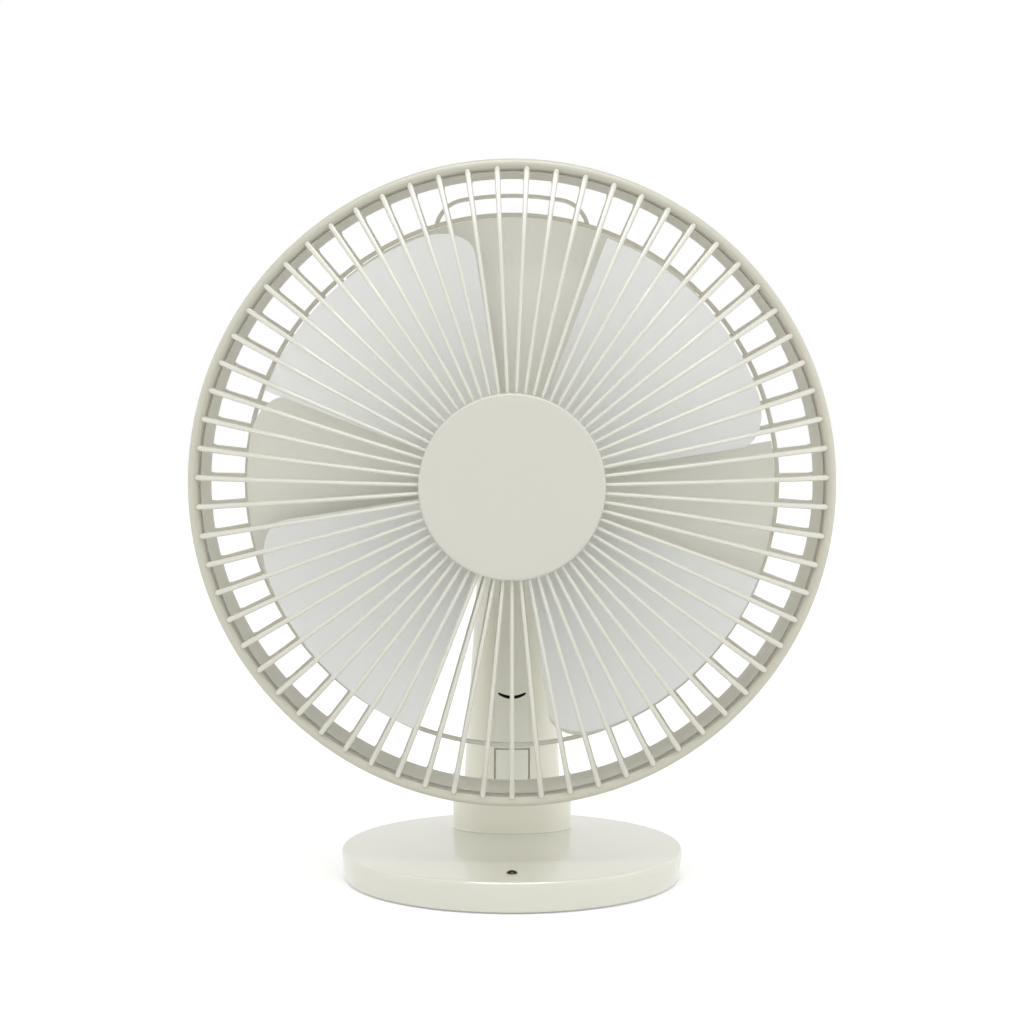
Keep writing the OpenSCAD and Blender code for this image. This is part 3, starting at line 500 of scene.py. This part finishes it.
def make_cap():
    mesh = bmesh.new()
    profile = rounded(
        [(0, 0), (CAP_R, 0), (CAP_R, CAP_T), (CAP_R - 3 * MM, CAP_T), (0, CAP_T)],
        [0, 0, 0.7 * MM, 0, 0])
    lathe(mesh, [(p[0], p[1] + DOME_TOP) for p in profile], closed=False)
    finish_mesh("guard_cap_disc", mesh, "head", ["guard_cap"], "casing", sharp=50, paint=CAP_PAINTED_SHADE)


def rear_rib_stations():
    """A rib from the plate to the wall, which it meets with a flare.

    The stations lie closer together towards the wall.
    """
    steps = 26
    start = PLATE_R - 1 * MM
    end = WALL_IN_R + 0.6 * MM
    stations = []
    for i in range(steps + 1):
        r = start + (end - start) * (i / steps) ** 0.8
        near = min(max(0.0, RIB_FLARE - (WALL_IN_R - r)), RIB_FLARE)
        width = RIB_W + 2 * (RIB_FLARE - math.sqrt(RIB_FLARE ** 2 - near ** 2))
        stations.append((r, dish_z(min(r, WALL_IN_R)) + RIB_T / 2, width, RIB_T))
    return stations


def ring_bar(mesh, radius, z, width, depth, start, sweep, centre=(0, 0), steps=24, points=10):
    """A bar bent round a centre, from the start angle through the sweep."""
    loops = []
    for i in range(steps + 1):
        angle = start + sweep * i / steps
        out = Vector((math.cos(angle), math.sin(angle), 0))
        base = Vector((centre[0], centre[1], z))
        loops.append([
            base + out * (radius + a) + Vector((0, 0, b))
            for a, b in oval_section(width, depth, points)
        ])
    skin(mesh, loops)


GRIP_R = 75.8 * MM
GRIP_ANGLE = math.radians(20)
GRIP_SHOULDER = 9 * MM
SHOULDER_ANGLE = math.radians(74)


def make_finger_grip(mesh):
    """The raised bar at the top: a long arc with a bent shoulder at each end."""
    z = dish_z(RING_R) + RIB_T / 2
    top = math.radians(90)
    ring_bar(mesh, GRIP_R - RING_W / 2, z, RING_W, RIB_T, top - GRIP_ANGLE / 2, GRIP_ANGLE)
    for side in (-1, 1):
        at = top + side * GRIP_ANGLE / 2
        reach = GRIP_R - GRIP_SHOULDER
        centre = (reach * math.cos(at), reach * math.sin(at))
        ring_bar(mesh, GRIP_SHOULDER - RING_W / 2, z, RING_W, RIB_T, at,
                 side * SHOULDER_ANGLE, centre, steps=16)


def make_rear_guard():
    mesh = bmesh.new()
    back = dish_z(WALL_IN_R)
    groove_end = GROOVE_R + GROOVE_W
    groove_z = WALL_FRONT - GROOVE_DEPTH
    wall = rounded(
        [(WALL_IN_R, WALL_FRONT), (GROOVE_R, WALL_FRONT), (GROOVE_R, groove_z), (groove_end, groove_z),
         (groove_end, WALL_FRONT), (WALL_OUT_R, WALL_FRONT), (WALL_OUT_R, back), (WALL_IN_R, back)],
        [0, 0, 0, 0, 0, 0.3 * MM, 1.6 * MM, 0.3 * MM])
    lathe(mesh, wall)
    stations = rear_rib_stations()
    for angle in spoke_angles():
        radial_bar(mesh, angle, stations)
    ring_z = dish_z(RING_R)
    ring = rounded(
        [(RING_R - RING_W, ring_z), (RING_R, ring_z), (RING_R, ring_z + RIB_T),
         (RING_R - RING_W, ring_z + RIB_T)], [0.45 * MM] * 4)
    lathe(mesh, ring)
    plate = rounded(
        [(PLATE_BORE_R, PLATE_BACK), (PLATE_R, PLATE_BACK), (PLATE_R, PLATE_BACK + PLATE_T),
         (PLATE_BORE_R, PLATE_BACK + PLATE_T)], [0, 0.3 * MM, 0.5 * MM, 0])
    lathe(mesh, plate)
    make_finger_grip(mesh)
    finish_mesh("rear_guard_shell", mesh, "head", ["rear_guard"], "casing", paint=GUARD_MATT_PAINTED_LIGHT)


make_bead()
make_front_spokes()
make_cap()
make_rear_guard()


# ---------------------------------------------------------------- rotors

FRONT_TIP_R = 67 * MM
REAR_TIP_R = 69 * MM
FRONT_BLADE_ANGLE = math.radians(60)
REAR_BLADE_ANGLE = math.radians(90)
GAP_MIDDLE = math.radians(264)
HUB_R = 20 * MM
HUB_WALL = 1.5 * MM
BORE_R = 6 * MM
SLEEVE_LONG = 7.3 * MM
SLEEVE_WALL = 2 * MM
BLADE_ROOT_R = HUB_R - 1 * MM
BLADE_T = 1.3 * MM
BLADE_CURVE = 0.08
TIP_CORNER = 7.5 * MM
CORNER_STRETCH = 1.8


def corner_angle(r, tip_r):
    """How far the rounded corner holds a blade's first edge back at radius r."""
    if r <= tip_r - TIP_CORNER:
        return 0.0
    share = min(1.0, (r - tip_r + TIP_CORNER) / TIP_CORNER)
    return CORNER_STRETCH * TIP_CORNER / tip_r * (1 - math.sqrt(max(0.0, 1 - share ** 2)))


def make_blade(mesh, tip_r, start, end, z_start, z_end):
    """A blade from the start angle at z_start to the end angle at z_end."""
    flat = 14
    bent = 10
    across = 26
    corner_r = tip_r - TIP_CORNER
    radii = [mix(BLADE_ROOT_R, corner_r, i / flat) for i in range(flat + 1)]
    radii += [corner_r + TIP_CORNER * math.sin(math.radians(90 * i / bent)) for i in range(1, bent + 1)]
    front, back = [], []
    for r in radii:
        low = start + corner_angle(r, tip_r)
        row_front, row_back = [], []
        for j in range(across + 1):
            angle = low + (end - low) * j / across
            share = (angle - start) / (end - start)
            z = mix(z_start, z_end, share + BLADE_CURVE * math.sin(TURN * share))
            x, y = r * math.cos(angle), r * math.sin(angle)
            row_front.append(mesh.verts.new((x, y, z + BLADE_T / 2)))
            row_back.append(mesh.verts.new((x, y, z - BLADE_T / 2)))
        front.append(row_front)
        back.append(row_back)
    rows = len(radii)
    for i in range(rows - 1):
        for j in range(across):
            mesh.faces.new((front[i][j], front[i][j + 1], front[i + 1][j + 1], front[i + 1][j]))
            mesh.faces.new((back[i][j], back[i + 1][j], back[i + 1][j + 1], back[i][j + 1]))
        for j in (0, across):
            mesh.faces.new((front[i][j], front[i + 1][j], back[i + 1][j], back[i][j]))
    for i in (0, rows - 1):
        for j in range(across):
            mesh.faces.new((front[i][j], back[i][j], back[i][j + 1], front[i][j + 1]))


def make_hub(mesh, back, front):
    """A cup that opens backwards, with a sleeve for the bearings in its middle."""
    sleeve_r = BORE_R + SLEEVE_WALL
    sleeve_end = front - SLEEVE_LONG
    profile = rounded(
        [(HUB_R, back), (HUB_R, front), (BORE_R, front), (BORE_R, sleeve_end),
         (sleeve_r, sleeve_end), (sleeve_r, front - HUB_WALL),
         (HUB_R - HUB_WALL, front - HUB_WALL), (HUB_R - HUB_WALL, back)],
        [0.3 * MM, 1.2 * MM, 0.2 * MM, 0, 0, 0, 0.5 * MM, 0.3 * MM])
    lathe(mesh, profile, segments=160)


def hub_span(node):
    """The hub's back and front along the head's axis."""
    low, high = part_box(node)
    zero = PIVOT.y - HEAD_REACH
    return zero - high.y, zero - low.y


def make_rotor(node, body, slot, tip_r, count, width, z_start, z_end):
    """Equal blades on a hub. z_start and z_end are the blades' ends ahead of the hub's back."""
    mesh = bmesh.new()
    back, front = hub_span(node)
    pitch = TURN / count
    for i in range(count):
        start = GAP_MIDDLE + (pitch - width) / 2 + i * pitch
        make_blade(mesh, tip_r, start, start + width, back + z_start, back + z_end)
    make_hub(mesh, back, front)
    finish_mesh(node + "_blades", mesh, body, [node], slot, bevel=0.35 * MM, sharp=50)


make_rotor("front_rotor", "front_fan", "front_blades", FRONT_TIP_R, 4, FRONT_BLADE_ANGLE,
           0.8 * MM + BLADE_T / 2, 10.5 * MM - BLADE_T / 2)
make_rotor("rear_rotor", "rear_fan", "rear_blades", REAR_TIP_R, 3, REAR_BLADE_ANGLE,
           13.5 * MM - BLADE_T / 2, 3.5 * MM + BLADE_T / 2)


# ---------------------------------------------------------------- motor housing

HOUSING_R = 24 * MM
HOUSING_T = 1.6 * MM
HOUSING_BACK = -13 * MM
HOUSING_ROUND = 8 * MM
EAR_R = 7.5 * MM
EAR_IN = 7.7 * MM
EAR_T = 3 * MM
EAR_ROOT = HOUSING_BACK + 1.2 * MM


def make_ear(mesh, x):
    """A lug that reaches back from the housing to the tilt bolt, round at its end."""
    steps = 24
    outline = [(-EAR_R, EAR_ROOT)]
    for i in range(steps + 1):
        angle = math.pi + math.pi * i / steps
        outline.append((EAR_R * math.cos(angle), -HEAD_REACH + EAR_R * math.sin(angle)))
    outline.append((EAR_R, EAR_ROOT))
    skin(mesh, [[(side, y, z) for y, z in outline] for side in (x, x + EAR_T)])


def make_motor_housing():
    mesh = bmesh.new()
    inner_r = HOUSING_R - HOUSING_T
    cup = rounded(
        [(0, HOUSING_BACK), (HOUSING_R, HOUSING_BACK), (HOUSING_R, PLATE_BACK), (inner_r, PLATE_BACK),
         (inner_r, HOUSING_BACK + HOUSING_T), (0, HOUSING_BACK + HOUSING_T)],
        [0, HOUSING_ROUND, 0.3 * MM, 0.3 * MM, HOUSING_ROUND - HOUSING_T, 0], steps=12)
    lathe(mesh, cup, closed=False)
    for x in (EAR_IN, -EAR_IN - EAR_T):
        make_ear(mesh, x)
    finish_mesh("motor_housing_shell", mesh, "head", ["motor_housing"], "casing", bevel=0.5 * MM)


make_motor_housing()


# ---------------------------------------------------------------- column

SHOULDER_Z = PIVOT.z - 12 * MM
SHOULDER_H = 2 * MM
SHAFT_POWER = 2
NECK_POWER = 9
KNUCKLE_R = 8 * MM
KNUCKLE_LOW = -5.5 * MM
KNUCKLE_W = 14 * MM
NECK_D = 13 * MM
COLUMN_FOOT = (28.7 * MM, 17.4 * MM)
COLUMN_TOP = (17.7 * MM, 15 * MM)
STRIP_W = 9.4 * MM
STRIP_T = 0.9 * MM
STRIP_GAP = 0.05 * MM
SEAM = 0.3 * MM
STRIP_LOW = BASE_TOP_Z + 13.7 * MM
LATCH_TOP = STRIP_LOW + 9.6 * MM
STRIP_HIGH = SHOULDER_Z - 6 * MM
SLOT_Z = BASE_TOP_Z + 37.8 * MM
SLOT_R = 7 * MM
RECESS_HALF = STRIP_W / 2 + SEAM
RECESS_MOST = 0.7
STAND = Matrix.Identity(4)


def column_section(z):
    """Width, depth and squareness of the column's section at height z."""
    if z <= SHOULDER_Z:
        share = (z - BASE_TOP_Z) / (SHOULDER_Z - BASE_TOP_Z)
        width, depth = (mix(foot, top, share) for foot, top in zip(COLUMN_FOOT, COLUMN_TOP))
        return width, depth, SHAFT_POWER
    turn = eased(min(1, (z - SHOULDER_Z) / SHOULDER_H))
    chord = 2 * math.sqrt(max(0, KNUCKLE_R ** 2 - (z - PIVOT.z) ** 2))
    depth = max(chord, NECK_D) if z < PIVOT.z else chord
    power = mix(SHAFT_POWER, NECK_POWER, turn ** 3)
    return mix(COLUMN_TOP[0], KNUCKLE_W, turn), mix(COLUMN_TOP[1], depth, turn), power


def column_face(x, z):
    """How far the column's surface stands out in front of its middle plane at x."""
    width, depth, power = column_section(z)
    return depth / 2 * (1 - min(1, abs(2 * x / width)) ** power) ** (1 / power)


def half_column_loop(z, side, recessed):
    """One half of the column's section, with the strip's recess in its face or without."""
    width, _, power = column_section(z)
    half = width / 2
    edge = min(RECESS_HALF, half * RECESS_MOST)
    last = math.acos((edge / half) ** (power / 2))
    flank_steps = 12
    flank = [half * math.cos(last * i / flank_steps) ** (2 / power) for i in range(flank_steps + 1)]
    floor_steps = 10
    floor = [edge * (1 - 2 * i / floor_steps) for i in range(floor_steps + 1)]
    sink = STRIP_T + STRIP_GAP if recessed else 0
    loop = [(x, column_face(x, z)) for x in flank]
    loop += [(x, column_face(x, z) - sink) for x in floor]
    loop += [(-x, column_face(x, z)) for x in reversed(flank)]
    return [(x, COLUMN_Y + side * out, z) for x, out in loop]


def column_heights():
    """Heights of the column's sections: the shaft, the shoulder, the neck and the round knuckle."""
    shaft = [mix(BASE_TOP_Z, SHOULDER_Z, i / 12) for i in range(13)]
    shoulder = [SHOULDER_Z + SHOULDER_H * i / 5 for i in range(1, 6)]
    first = math.asin(KNUCKLE_LOW / KNUCKLE_R)
    last = math.radians(88)
    knuckle = [PIVOT.z + KNUCKLE_R * math.sin(mix(first, last, i / 24)) for i in range(25)]
    return shaft + shoulder + knuckle


def make_column_half(name, node, side, recess=None):
    """A half shell of the column. recess is the lowest and highest point of the strip's recess."""
    step = 0.001 * MM
    if recess:
        low, high = recess
        stations = [(z, low < z < high) for z in column_heights()]
        stations += [(low, False), (low + step, True), (high - step, True), (high, False)]
    else:
        stations = [(z, False) for z in column_heights()]
    mesh = bmesh.new()
    skin(mesh, [half_column_loop(z, side, recessed) for z, recessed in sorted(stations)])
    bmesh.ops.remove_doubles(mesh, verts=mesh.verts, dist=step / 10)
    return finish_mesh(name, mesh, "stand", [node], "casing", STAND, paint=COLUMN_PAINTED_LIGHT)


SCREW_R = 1.08 * MM
SCREW_HEAD_R = 2.2 * MM
SCREW_HEAD_T = 1.2 * MM
SCREW_SEAT = 3 * MM
SCREW_LONG = 6 * MM
SCREW_X = 5 * MM
SCREW_HEIGHTS = (SHOULDER_Z - 14 * MM, BASE_TOP_Z + 26 * MM)
# Height, half length and half width of the cross recess.
DRIVER_FLOOR = (0.35 * MM, 0.9 * MM, 0.2 * MM)
DRIVER_MOUTH = (1.4 * MM, 1.25 * MM, 0.34 * MM)
WELL_DEPTH = 8 * MM
WELL_GAP = 0.15 * MM


def column_screw_places():
    """Where each screw's head bears, with local Z out of the column's back."""
    places = []
    for x in (-SCREW_X, SCREW_X):
        for z in SCREW_HEIGHTS:
            seat = COLUMN_Y + column_face(0, z) - SCREW_SEAT
            places.append(Matrix.Translation((x, seat, z)) @ BACKWARDS)
    return places


def make_screw_wells(piece):
    """The deep holes in the column's back that its screws sit in."""
    mesh = bmesh.new()
    for place in column_screw_places():
        placed(mesh, place, rod, SCREW_HEAD_R + WELL_GAP, 0, WELL_DEPTH)
    carve(piece, cutter_from(mesh))


def screw_body(mesh, length):
    """A pan-head screw whose head stands on z = 0."""
    profile = rounded(
        [(0, -length), (SCREW_R, -length), (SCREW_R, 0), (SCREW_HEAD_R, 0), (SCREW_HEAD_R, SCREW_HEAD_T),
         (0, SCREW_HEAD_T)], [0, 0.4 * MM, 0, 0.1 * MM, 0.6 * MM, 0], steps=6)
    lathe(mesh, profile, 48, closed=False)


def driver_slot(mesh, turn):
    """One bar of a cross recess, narrower at its floor."""
    way = Matrix.Rotation(turn, 4, "Z")
    loops = []
    for z, long, wide in (DRIVER_FLOOR, DRIVER_MOUTH):
        corners = [(long, wide), (-long, wide), (-long, -wide), (long, -wide)]
        loops.append([way @ Vector((x, y, z)) for x, y in corners])
    skin(mesh, loops)


def make_column_screws():
    mesh = bmesh.new()
    for place in column_screw_places():
        placed(mesh, place, screw_body, SCREW_LONG)
    piece = finish_mesh("column_screw_set", mesh, "stand", ["column_screws"], "steel", STAND)
    for turn in (math.radians(20), math.radians(110)):
        slots = bmesh.new()
        for place in column_screw_places():
            placed(slots, place, driver_slot, turn)
        carve(piece, cutter_from(slots))
    soften(piece, 0.04 * MM, segments=2)


column_front = make_column_half("column_front_shell", "column_front", -1,
                                (STRIP_LOW - SEAM, STRIP_HIGH + SEAM))
soften(column_front, 0.12 * MM)
column_back = make_column_half("column_back_shell", "column_back", 1)
make_screw_wells(column_back)
soften(column_back, 0.12 * MM)
make_column_screws()


# ---------------------------------------------------------------- strip and latch

STRIP_SPREAD = 0.52 * MM
CRESCENT_SWEEP = math.radians(66)
CRESCENT_W = 0.95 * MM
# Width of the black crescent of painted shade at the slot's floor.
SLOT_SHADE_W = 0.97 * MM
CRESCENT_TIP = 0.35


def face_plate(mesh, width, low, high, front, back, across=10, steps=8):
    """A plate that follows the column's face, between two depths behind it."""
    loops = []
    for i in range(steps + 1):
        z = mix(low, high, i / steps)
        sides = [width * (0.5 - j / across) for j in range(across + 1)]
        loop = [(x, COLUMN_Y - column_face(x, z) + front, z) for x in sides]
        loop += [(x, COLUMN_Y - column_face(x, z) + back, z) for x in reversed(sides)]
        loops.append(loop)
    skin(mesh, loops)


def crescent(mesh, front, back, width):
    """A bent bar that narrows to its ends, in the upright plane of the column's face."""
    loops = []
    steps = 24
    face = COLUMN_Y - column_face(0, SLOT_Z)
    for i in range(steps + 1):
        angle = math.radians(270) + CRESCENT_SWEEP * (i / steps - 0.5)
        half = width / 2 * mix(CRESCENT_TIP, 1, math.sin(math.pi * i / steps) ** 0.5)
        loops.append([
            ((SLOT_R + a) * math.cos(angle), face + y, SLOT_Z + SLOT_R + (SLOT_R + a) * math.sin(angle))
            for a, y in ((-half, front), (half, front), (half, back), (-half, back))
        ])
    skin(mesh, loops)


def make_strip():
    mesh = bmesh.new()
    face_plate(mesh, STRIP_W + STRIP_SPREAD, LATCH_TOP + SEAM, STRIP_HIGH, 0.02 * MM, STRIP_T)
    strip = finish_mesh("column_strip_plate", mesh, "stand", ["column_strip"], "strip", STAND)
    slot = bmesh.new()
    crescent(slot, -1 * MM, 0.55 * MM, CRESCENT_W)
    carve(strip, cutter_from(slot))
    soften(strip, 0.08 * MM)
    # A black crescent at the slot's floor: painted shade in the slot.
    floor = bmesh.new()
    crescent(floor, 0.3 * MM, 0.8 * MM, SLOT_SHADE_W)
    finish_mesh("column_strip_slot_painted_shade", floor, "stand", [], "strip", STAND, paint=SLOT_PAINTED_SHADE)


def make_latch():
    mesh = bmesh.new()
    face_plate(mesh, STRIP_W - 0.4 * MM, STRIP_LOW + 0.1 * MM, LATCH_TOP - 0.15 * MM, 0.05 * MM, STRIP_T)
    latch = finish_mesh("strip_latch_plate", mesh, "stand", ["strip_latch"], "strip", STAND)
    soften(latch, 0.15 * MM)


make_strip()
make_latch()


# ---------------------------------------------------------------- collar

COLLAR = (33.2 * MM, 21 * MM)
COLLAR_H = 10 * MM
COLLAR_GAP = 0.15 * MM
COLLAR_FOOT = 0.15 * MM


def make_collar():
    """An oval ring round the column, with a low foot where it meets the base."""
    wall = (COLLAR[0] - COLUMN_FOOT[0]) / 2 - COLLAR_GAP
    profile = rounded(
        [(COLLAR_FOOT, 0), (COLLAR_FOOT, 0.3 * MM), (0, 0.6 * MM), (0, COLLAR_H),
         (-wall, COLLAR_H), (-wall, 0)],
        [0.05 * MM, 0.12 * MM, 0.4 * MM, 0.7 * MM, 0.3 * MM, 0], steps=6)
    mesh = bmesh.new()
    count = 160
    loops = []
    for i in range(count):
        angle = TURN * i / count
        out = Vector((math.cos(angle), math.sin(angle)))
        loops.append([
            (out.x * (COLLAR[0] / 2 + aside), COLUMN_Y + out.y * (COLLAR[1] / 2 + aside), BASE_TOP_Z + up)
            for aside, up in profile
        ])
    skin(mesh, loops + loops[:1], capped=False)
    bmesh.ops.remove_doubles(mesh, verts=mesh.verts, dist=0.0001 * MM)
    finish_mesh("collar_ring", mesh, "stand", ["collar"], "casing", STAND, sharp=55, paint=COLUMN_PAINTED_LIGHT)


make_collar()


# ---------------------------------------------------------------- base

FOOT_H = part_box("base_top")[0].z
BASE_WALL = 1.6 * MM
BASE_EDGE = 1.6 * MM
BASE_LOW_R = BASE_R - 0.7 * MM
BASE_IN_R = BASE_R - 2.5 * MM
LAMP_Y = BASE_R - 10.9 * MM
LAMP_R = 1.4 * MM
LAMP_GAP = 0.08 * MM
LAMP_CROWN = 0.85 * MM
LAMP_SINK = 0.1 * MM
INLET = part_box("power_inlet")
INLET_MID = (INLET[0] + INLET[1]) / 2
INLET_W = INLET[1].x - INLET[0].x
INLET_H = INLET[1].z - INLET[0].z
INLET_GAP = 0.5 * MM
INLET_WALL = 0.35 * MM
INLET_BACK = 1.2 * MM
TONGUE_W = INLET_W - 2.2 * MM
TONGUE_H = 0.7 * MM
TONGUE_SINK = 1 * MM
BUTTON_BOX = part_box("power_button")
BUTTON_R = 1.8 * MM
BUTTON_GAP = 0.2 * MM
BUTTON_LIP = 0.3 * MM
BUTTON_LIP_T = 0.7 * MM
DISH_R = BUTTON_R * 0.72
DISH_DEPTH = 0.22 * MM
BUTTON_MID = (BUTTON_BOX[0] + BUTTON_BOX[1]) / 2


def bar_along_y(mesh, loop, middle, start, end):
    """A straight bar along Y whose section is loop, as (across, up)."""
    skin(mesh, [[(middle.x + a, y, middle.z + b) for a, b in loop] for y in (start, end)])


def make_base_top():
    """The base's upper shell, with holes for the lamp, the button and the inlet."""
    mesh = bmesh.new()
    under = BASE_TOP_Z - BASE_WALL
    profile = rounded(
        [(0, BASE_TOP_Z), (BASE_R, BASE_TOP_Z), (BASE_R, BASE_TOP_Z - BASE_EDGE), (BASE_LOW_R, FOOT_H),
         (BASE_IN_R, FOOT_H), (BASE_IN_R, under), (0, under)],
        [0, 0.7 * MM, 2.5 * MM, 0.5 * MM, 0.15 * MM, 0.3 * MM, 0], steps=8)
    lathe(mesh, profile, 320, closed=False)
    base = finish_mesh("base_top_shell", mesh, "stand", ["base_top"], "casing", STAND, paint=BASE_CASING)
    holes = bmesh.new()
    past = BASE_R + 2 * MM
    placed(holes, Matrix.Translation((0, -LAMP_Y, 0)), rod, LAMP_R + LAMP_GAP, 0, 20 * MM)
    way_out = Matrix.Translation((BUTTON_MID.x, 0, BUTTON_MID.z)) @ BACKWARDS
    placed(holes, way_out, rod, BUTTON_R + BUTTON_GAP, BUTTON_BOX[0].y, past)
    opening = stadium(INLET_W + INLET_GAP, INLET_H + INLET_GAP)
    bar_along_y(holes, opening, INLET_MID, INLET[0].y, past)
    carve(base, cutter_from(holes))
    soften(base, 0.12 * MM, sharp=50, segments=2)


def make_lamp():
    """A short rod with a domed top."""
    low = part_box("lamp_lens")[0].z
    rim = BASE_TOP_Z - LAMP_SINK
    steps = 12
    angles = [math.radians(90 * i / steps) for i in range(steps)]
    rise = [(LAMP_R * math.cos(angle), rim + LAMP_CROWN * math.sin(angle)) for angle in angles]
    profile = [(0, low), (LAMP_R, low)] + rise + [(0, rim + LAMP_CROWN)]
    mesh = bmesh.new()
    lathe(mesh, profile, 48, closed=False)
    place = Matrix.Translation((0, -LAMP_Y, 0))
    finish_mesh("lamp_lens_dome", mesh, "stand", ["lamp_lens"], "lens", place, sharp=60)


def make_inlet():
    """A pressed metal shell with round ends round a dark tongue."""
    mesh = bmesh.new()
    inner, outer = INLET[0].y, INLET[1].y
    outside = stadium(INLET_W, INLET_H)
    inside = stadium(INLET_W - 2 * INLET_WALL, INLET_H - 2 * INLET_WALL)
    rings = [(outside, inner), (outside, outer), (inside, outer), (inside, inner + INLET_BACK)]
    skin(mesh, [[(INLET_MID.x + a, y, INLET_MID.z + b) for a, b in loop] for loop, y in rings])
    finish_mesh("power_inlet_shell", mesh, "stand", ["power_inlet"], "steel", STAND, bevel=0.08 * MM)
    tongue = bmesh.new()
    section = stadium(TONGUE_W, TONGUE_H)
    bar_along_y(tongue, section, INLET_MID, inner + TONGUE_SINK, outer - TONGUE_SINK)
    finish_mesh("power_inlet_tongue", tongue, "stand", [], "dark_plastic", STAND, bevel=0.1 * MM)


def make_button():
    """A round button with a shallow dish in its face for the fingertip."""
    long = BUTTON_BOX[1].y - BUTTON_BOX[0].y
    lip_r = BUTTON_R + BUTTON_LIP
    profile = rounded(
        [(0, 0), (lip_r, 0), (lip_r, BUTTON_LIP_T), (BUTTON_R, BUTTON_LIP_T), (BUTTON_R, long),
         (DISH_R, long), (0, long - DISH_DEPTH)],
        [0, 0, 0, 0.1 * MM, 0.35 * MM, 0.5 * MM, 0], steps=6)
    mesh = bmesh.new()
    lathe(mesh, profile, 64, closed=False)
    place = Matrix.Translation((BUTTON_MID.x, BUTTON_BOX[0].y, BUTTON_MID.z)) @ BACKWARDS
    finish_mesh("power_button_cap", mesh, "button", ["power_button"], "button", place, sharp=50)


make_base_top()
make_lamp()
make_inlet()
make_button()


# ---------------------------------------------------------------- floor, backdrop and light

FLOOR_SIZE = 6.0
FLOOR_PALE = 0.84
FLOOR_LIFT = 0.2
AIM = (0, 0, 0.1)


def white_stage_material():
    """White to the camera and in reflections, with the object's shadow, and plain pale to the light."""
    material = bpy.data.materials.new("stage_white")
    material.use_nodes = True
    tree = material.node_tree
    tree.nodes.remove(tree.nodes["Principled BSDF"])
    pale = tree.nodes.new("ShaderNodeBsdfDiffuse")
    pale.inputs["Color"].default_value = (FLOOR_PALE, FLOOR_PALE, FLOOR_PALE, 1)
    lift = tree.nodes.new("ShaderNodeEmission")
    lift.inputs["Strength"].default_value = FLOOR_LIFT
    white = tree.nodes.new("ShaderNodeEmission")
    white.inputs["Strength"].default_value = 1.0
    lifted = tree.nodes.new("ShaderNodeAddShader")
    tree.links.new(pale.outputs["BSDF"], lifted.inputs[0])
    tree.links.new(lift.outputs["Emission"], lifted.inputs[1])
    path = tree.nodes.new("ShaderNodeLightPath")
    seen = mix_shader(tree, path.outputs["Is Camera Ray"], pale.outputs["BSDF"], lifted.outputs["Shader"])
    mirrored = mix_shader(tree, mirror_ray(tree, path), seen.outputs["Shader"], white.outputs["Emission"])
    tree.links.new(mirrored.outputs["Shader"], tree.nodes["Material Output"].inputs["Surface"])
    return material


def mix_shader(tree, factor, first, second):
    node = tree.nodes.new("ShaderNodeMixShader")
    tree.links.new(factor, node.inputs["Fac"])
    tree.links.new(first, node.inputs[1])
    tree.links.new(second, node.inputs[2])
    return node


def mirror_ray(tree, path):
    """1 for a ray that left a mirror-like or clear surface."""
    either = tree.nodes.new("ShaderNodeMath")
    either.operation = "MAXIMUM"
    tree.links.new(path.outputs["Is Glossy Ray"], either.inputs[0])
    tree.links.new(path.outputs["Is Transmission Ray"], either.inputs[1])
    return either.outputs["Value"]


def make_stage():
    mesh = bpy.data.meshes.new("floor")
    half = FLOOR_SIZE / 2
    corners = [(-half, -half, 0), (half, -half, 0), (half, half, 0), (-half, half, 0)]
    mesh.from_pydata(corners, [], [(0, 1, 2, 3)])
    mesh.materials.append(white_stage_material())
    floor = bpy.data.objects.new("floor", mesh)
    bpy.context.scene.collection.objects.link(floor)


def area_light(name, place, target, size, power):
    """A white panel at place that faces the target."""
    data = bpy.data.lights.new(name, "AREA")
    data.shape = "RECTANGLE"
    data.size, data.size_y = size
    data.energy = power
    lamp = bpy.data.objects.new(name, data)
    lamp.location = place
    lamp.rotation_euler = (Vector(target) - Vector(place)).to_track_quat("-Z", "Y").to_euler()
    bpy.context.scene.collection.objects.link(lamp)
    return lamp


def make_world():
    """White all round, to the camera, in reflections and as the light of a bright room."""
    world = bpy.data.worlds.new("studio")
    world.use_nodes = True
    light = world.node_tree.nodes["Background"]
    light.inputs["Color"].default_value = (1, 1, 1, 1)
    light.inputs["Strength"].default_value = 1.0
    bpy.context.scene.world = world


make_stage()
make_world()
area_light("strip_above", (0, -0.55, 1.0), AIM, (0.8, 0.08), 1.8)
area_light("front_fill", (0, -1.7, 0.2), AIM, (1.4, 0.8), 2.0)
area_light("side_left", (-1.1, -0.25, 0.25), AIM, (0.8, 0.8), 1.8)
area_light("side_right", (1.1, -0.25, 0.25), AIM, (0.8, 0.8), 2.9)
area_light("top_back", (0, 0.35, 1.1), (0, 0, 0), (1.0, 0.6), 0.6)
# Seen only in reflections: the bright lines on rounded edges.
gleam = area_light("gleam", (0, -0.45, 0.9), AIM, (0.7, 0.25), 13.0)
gleam.visible_diffuse = False


# ---------------------------------------------------------------- end

scene = bpy.context.scene
scene.view_settings.view_transform = "Standard"
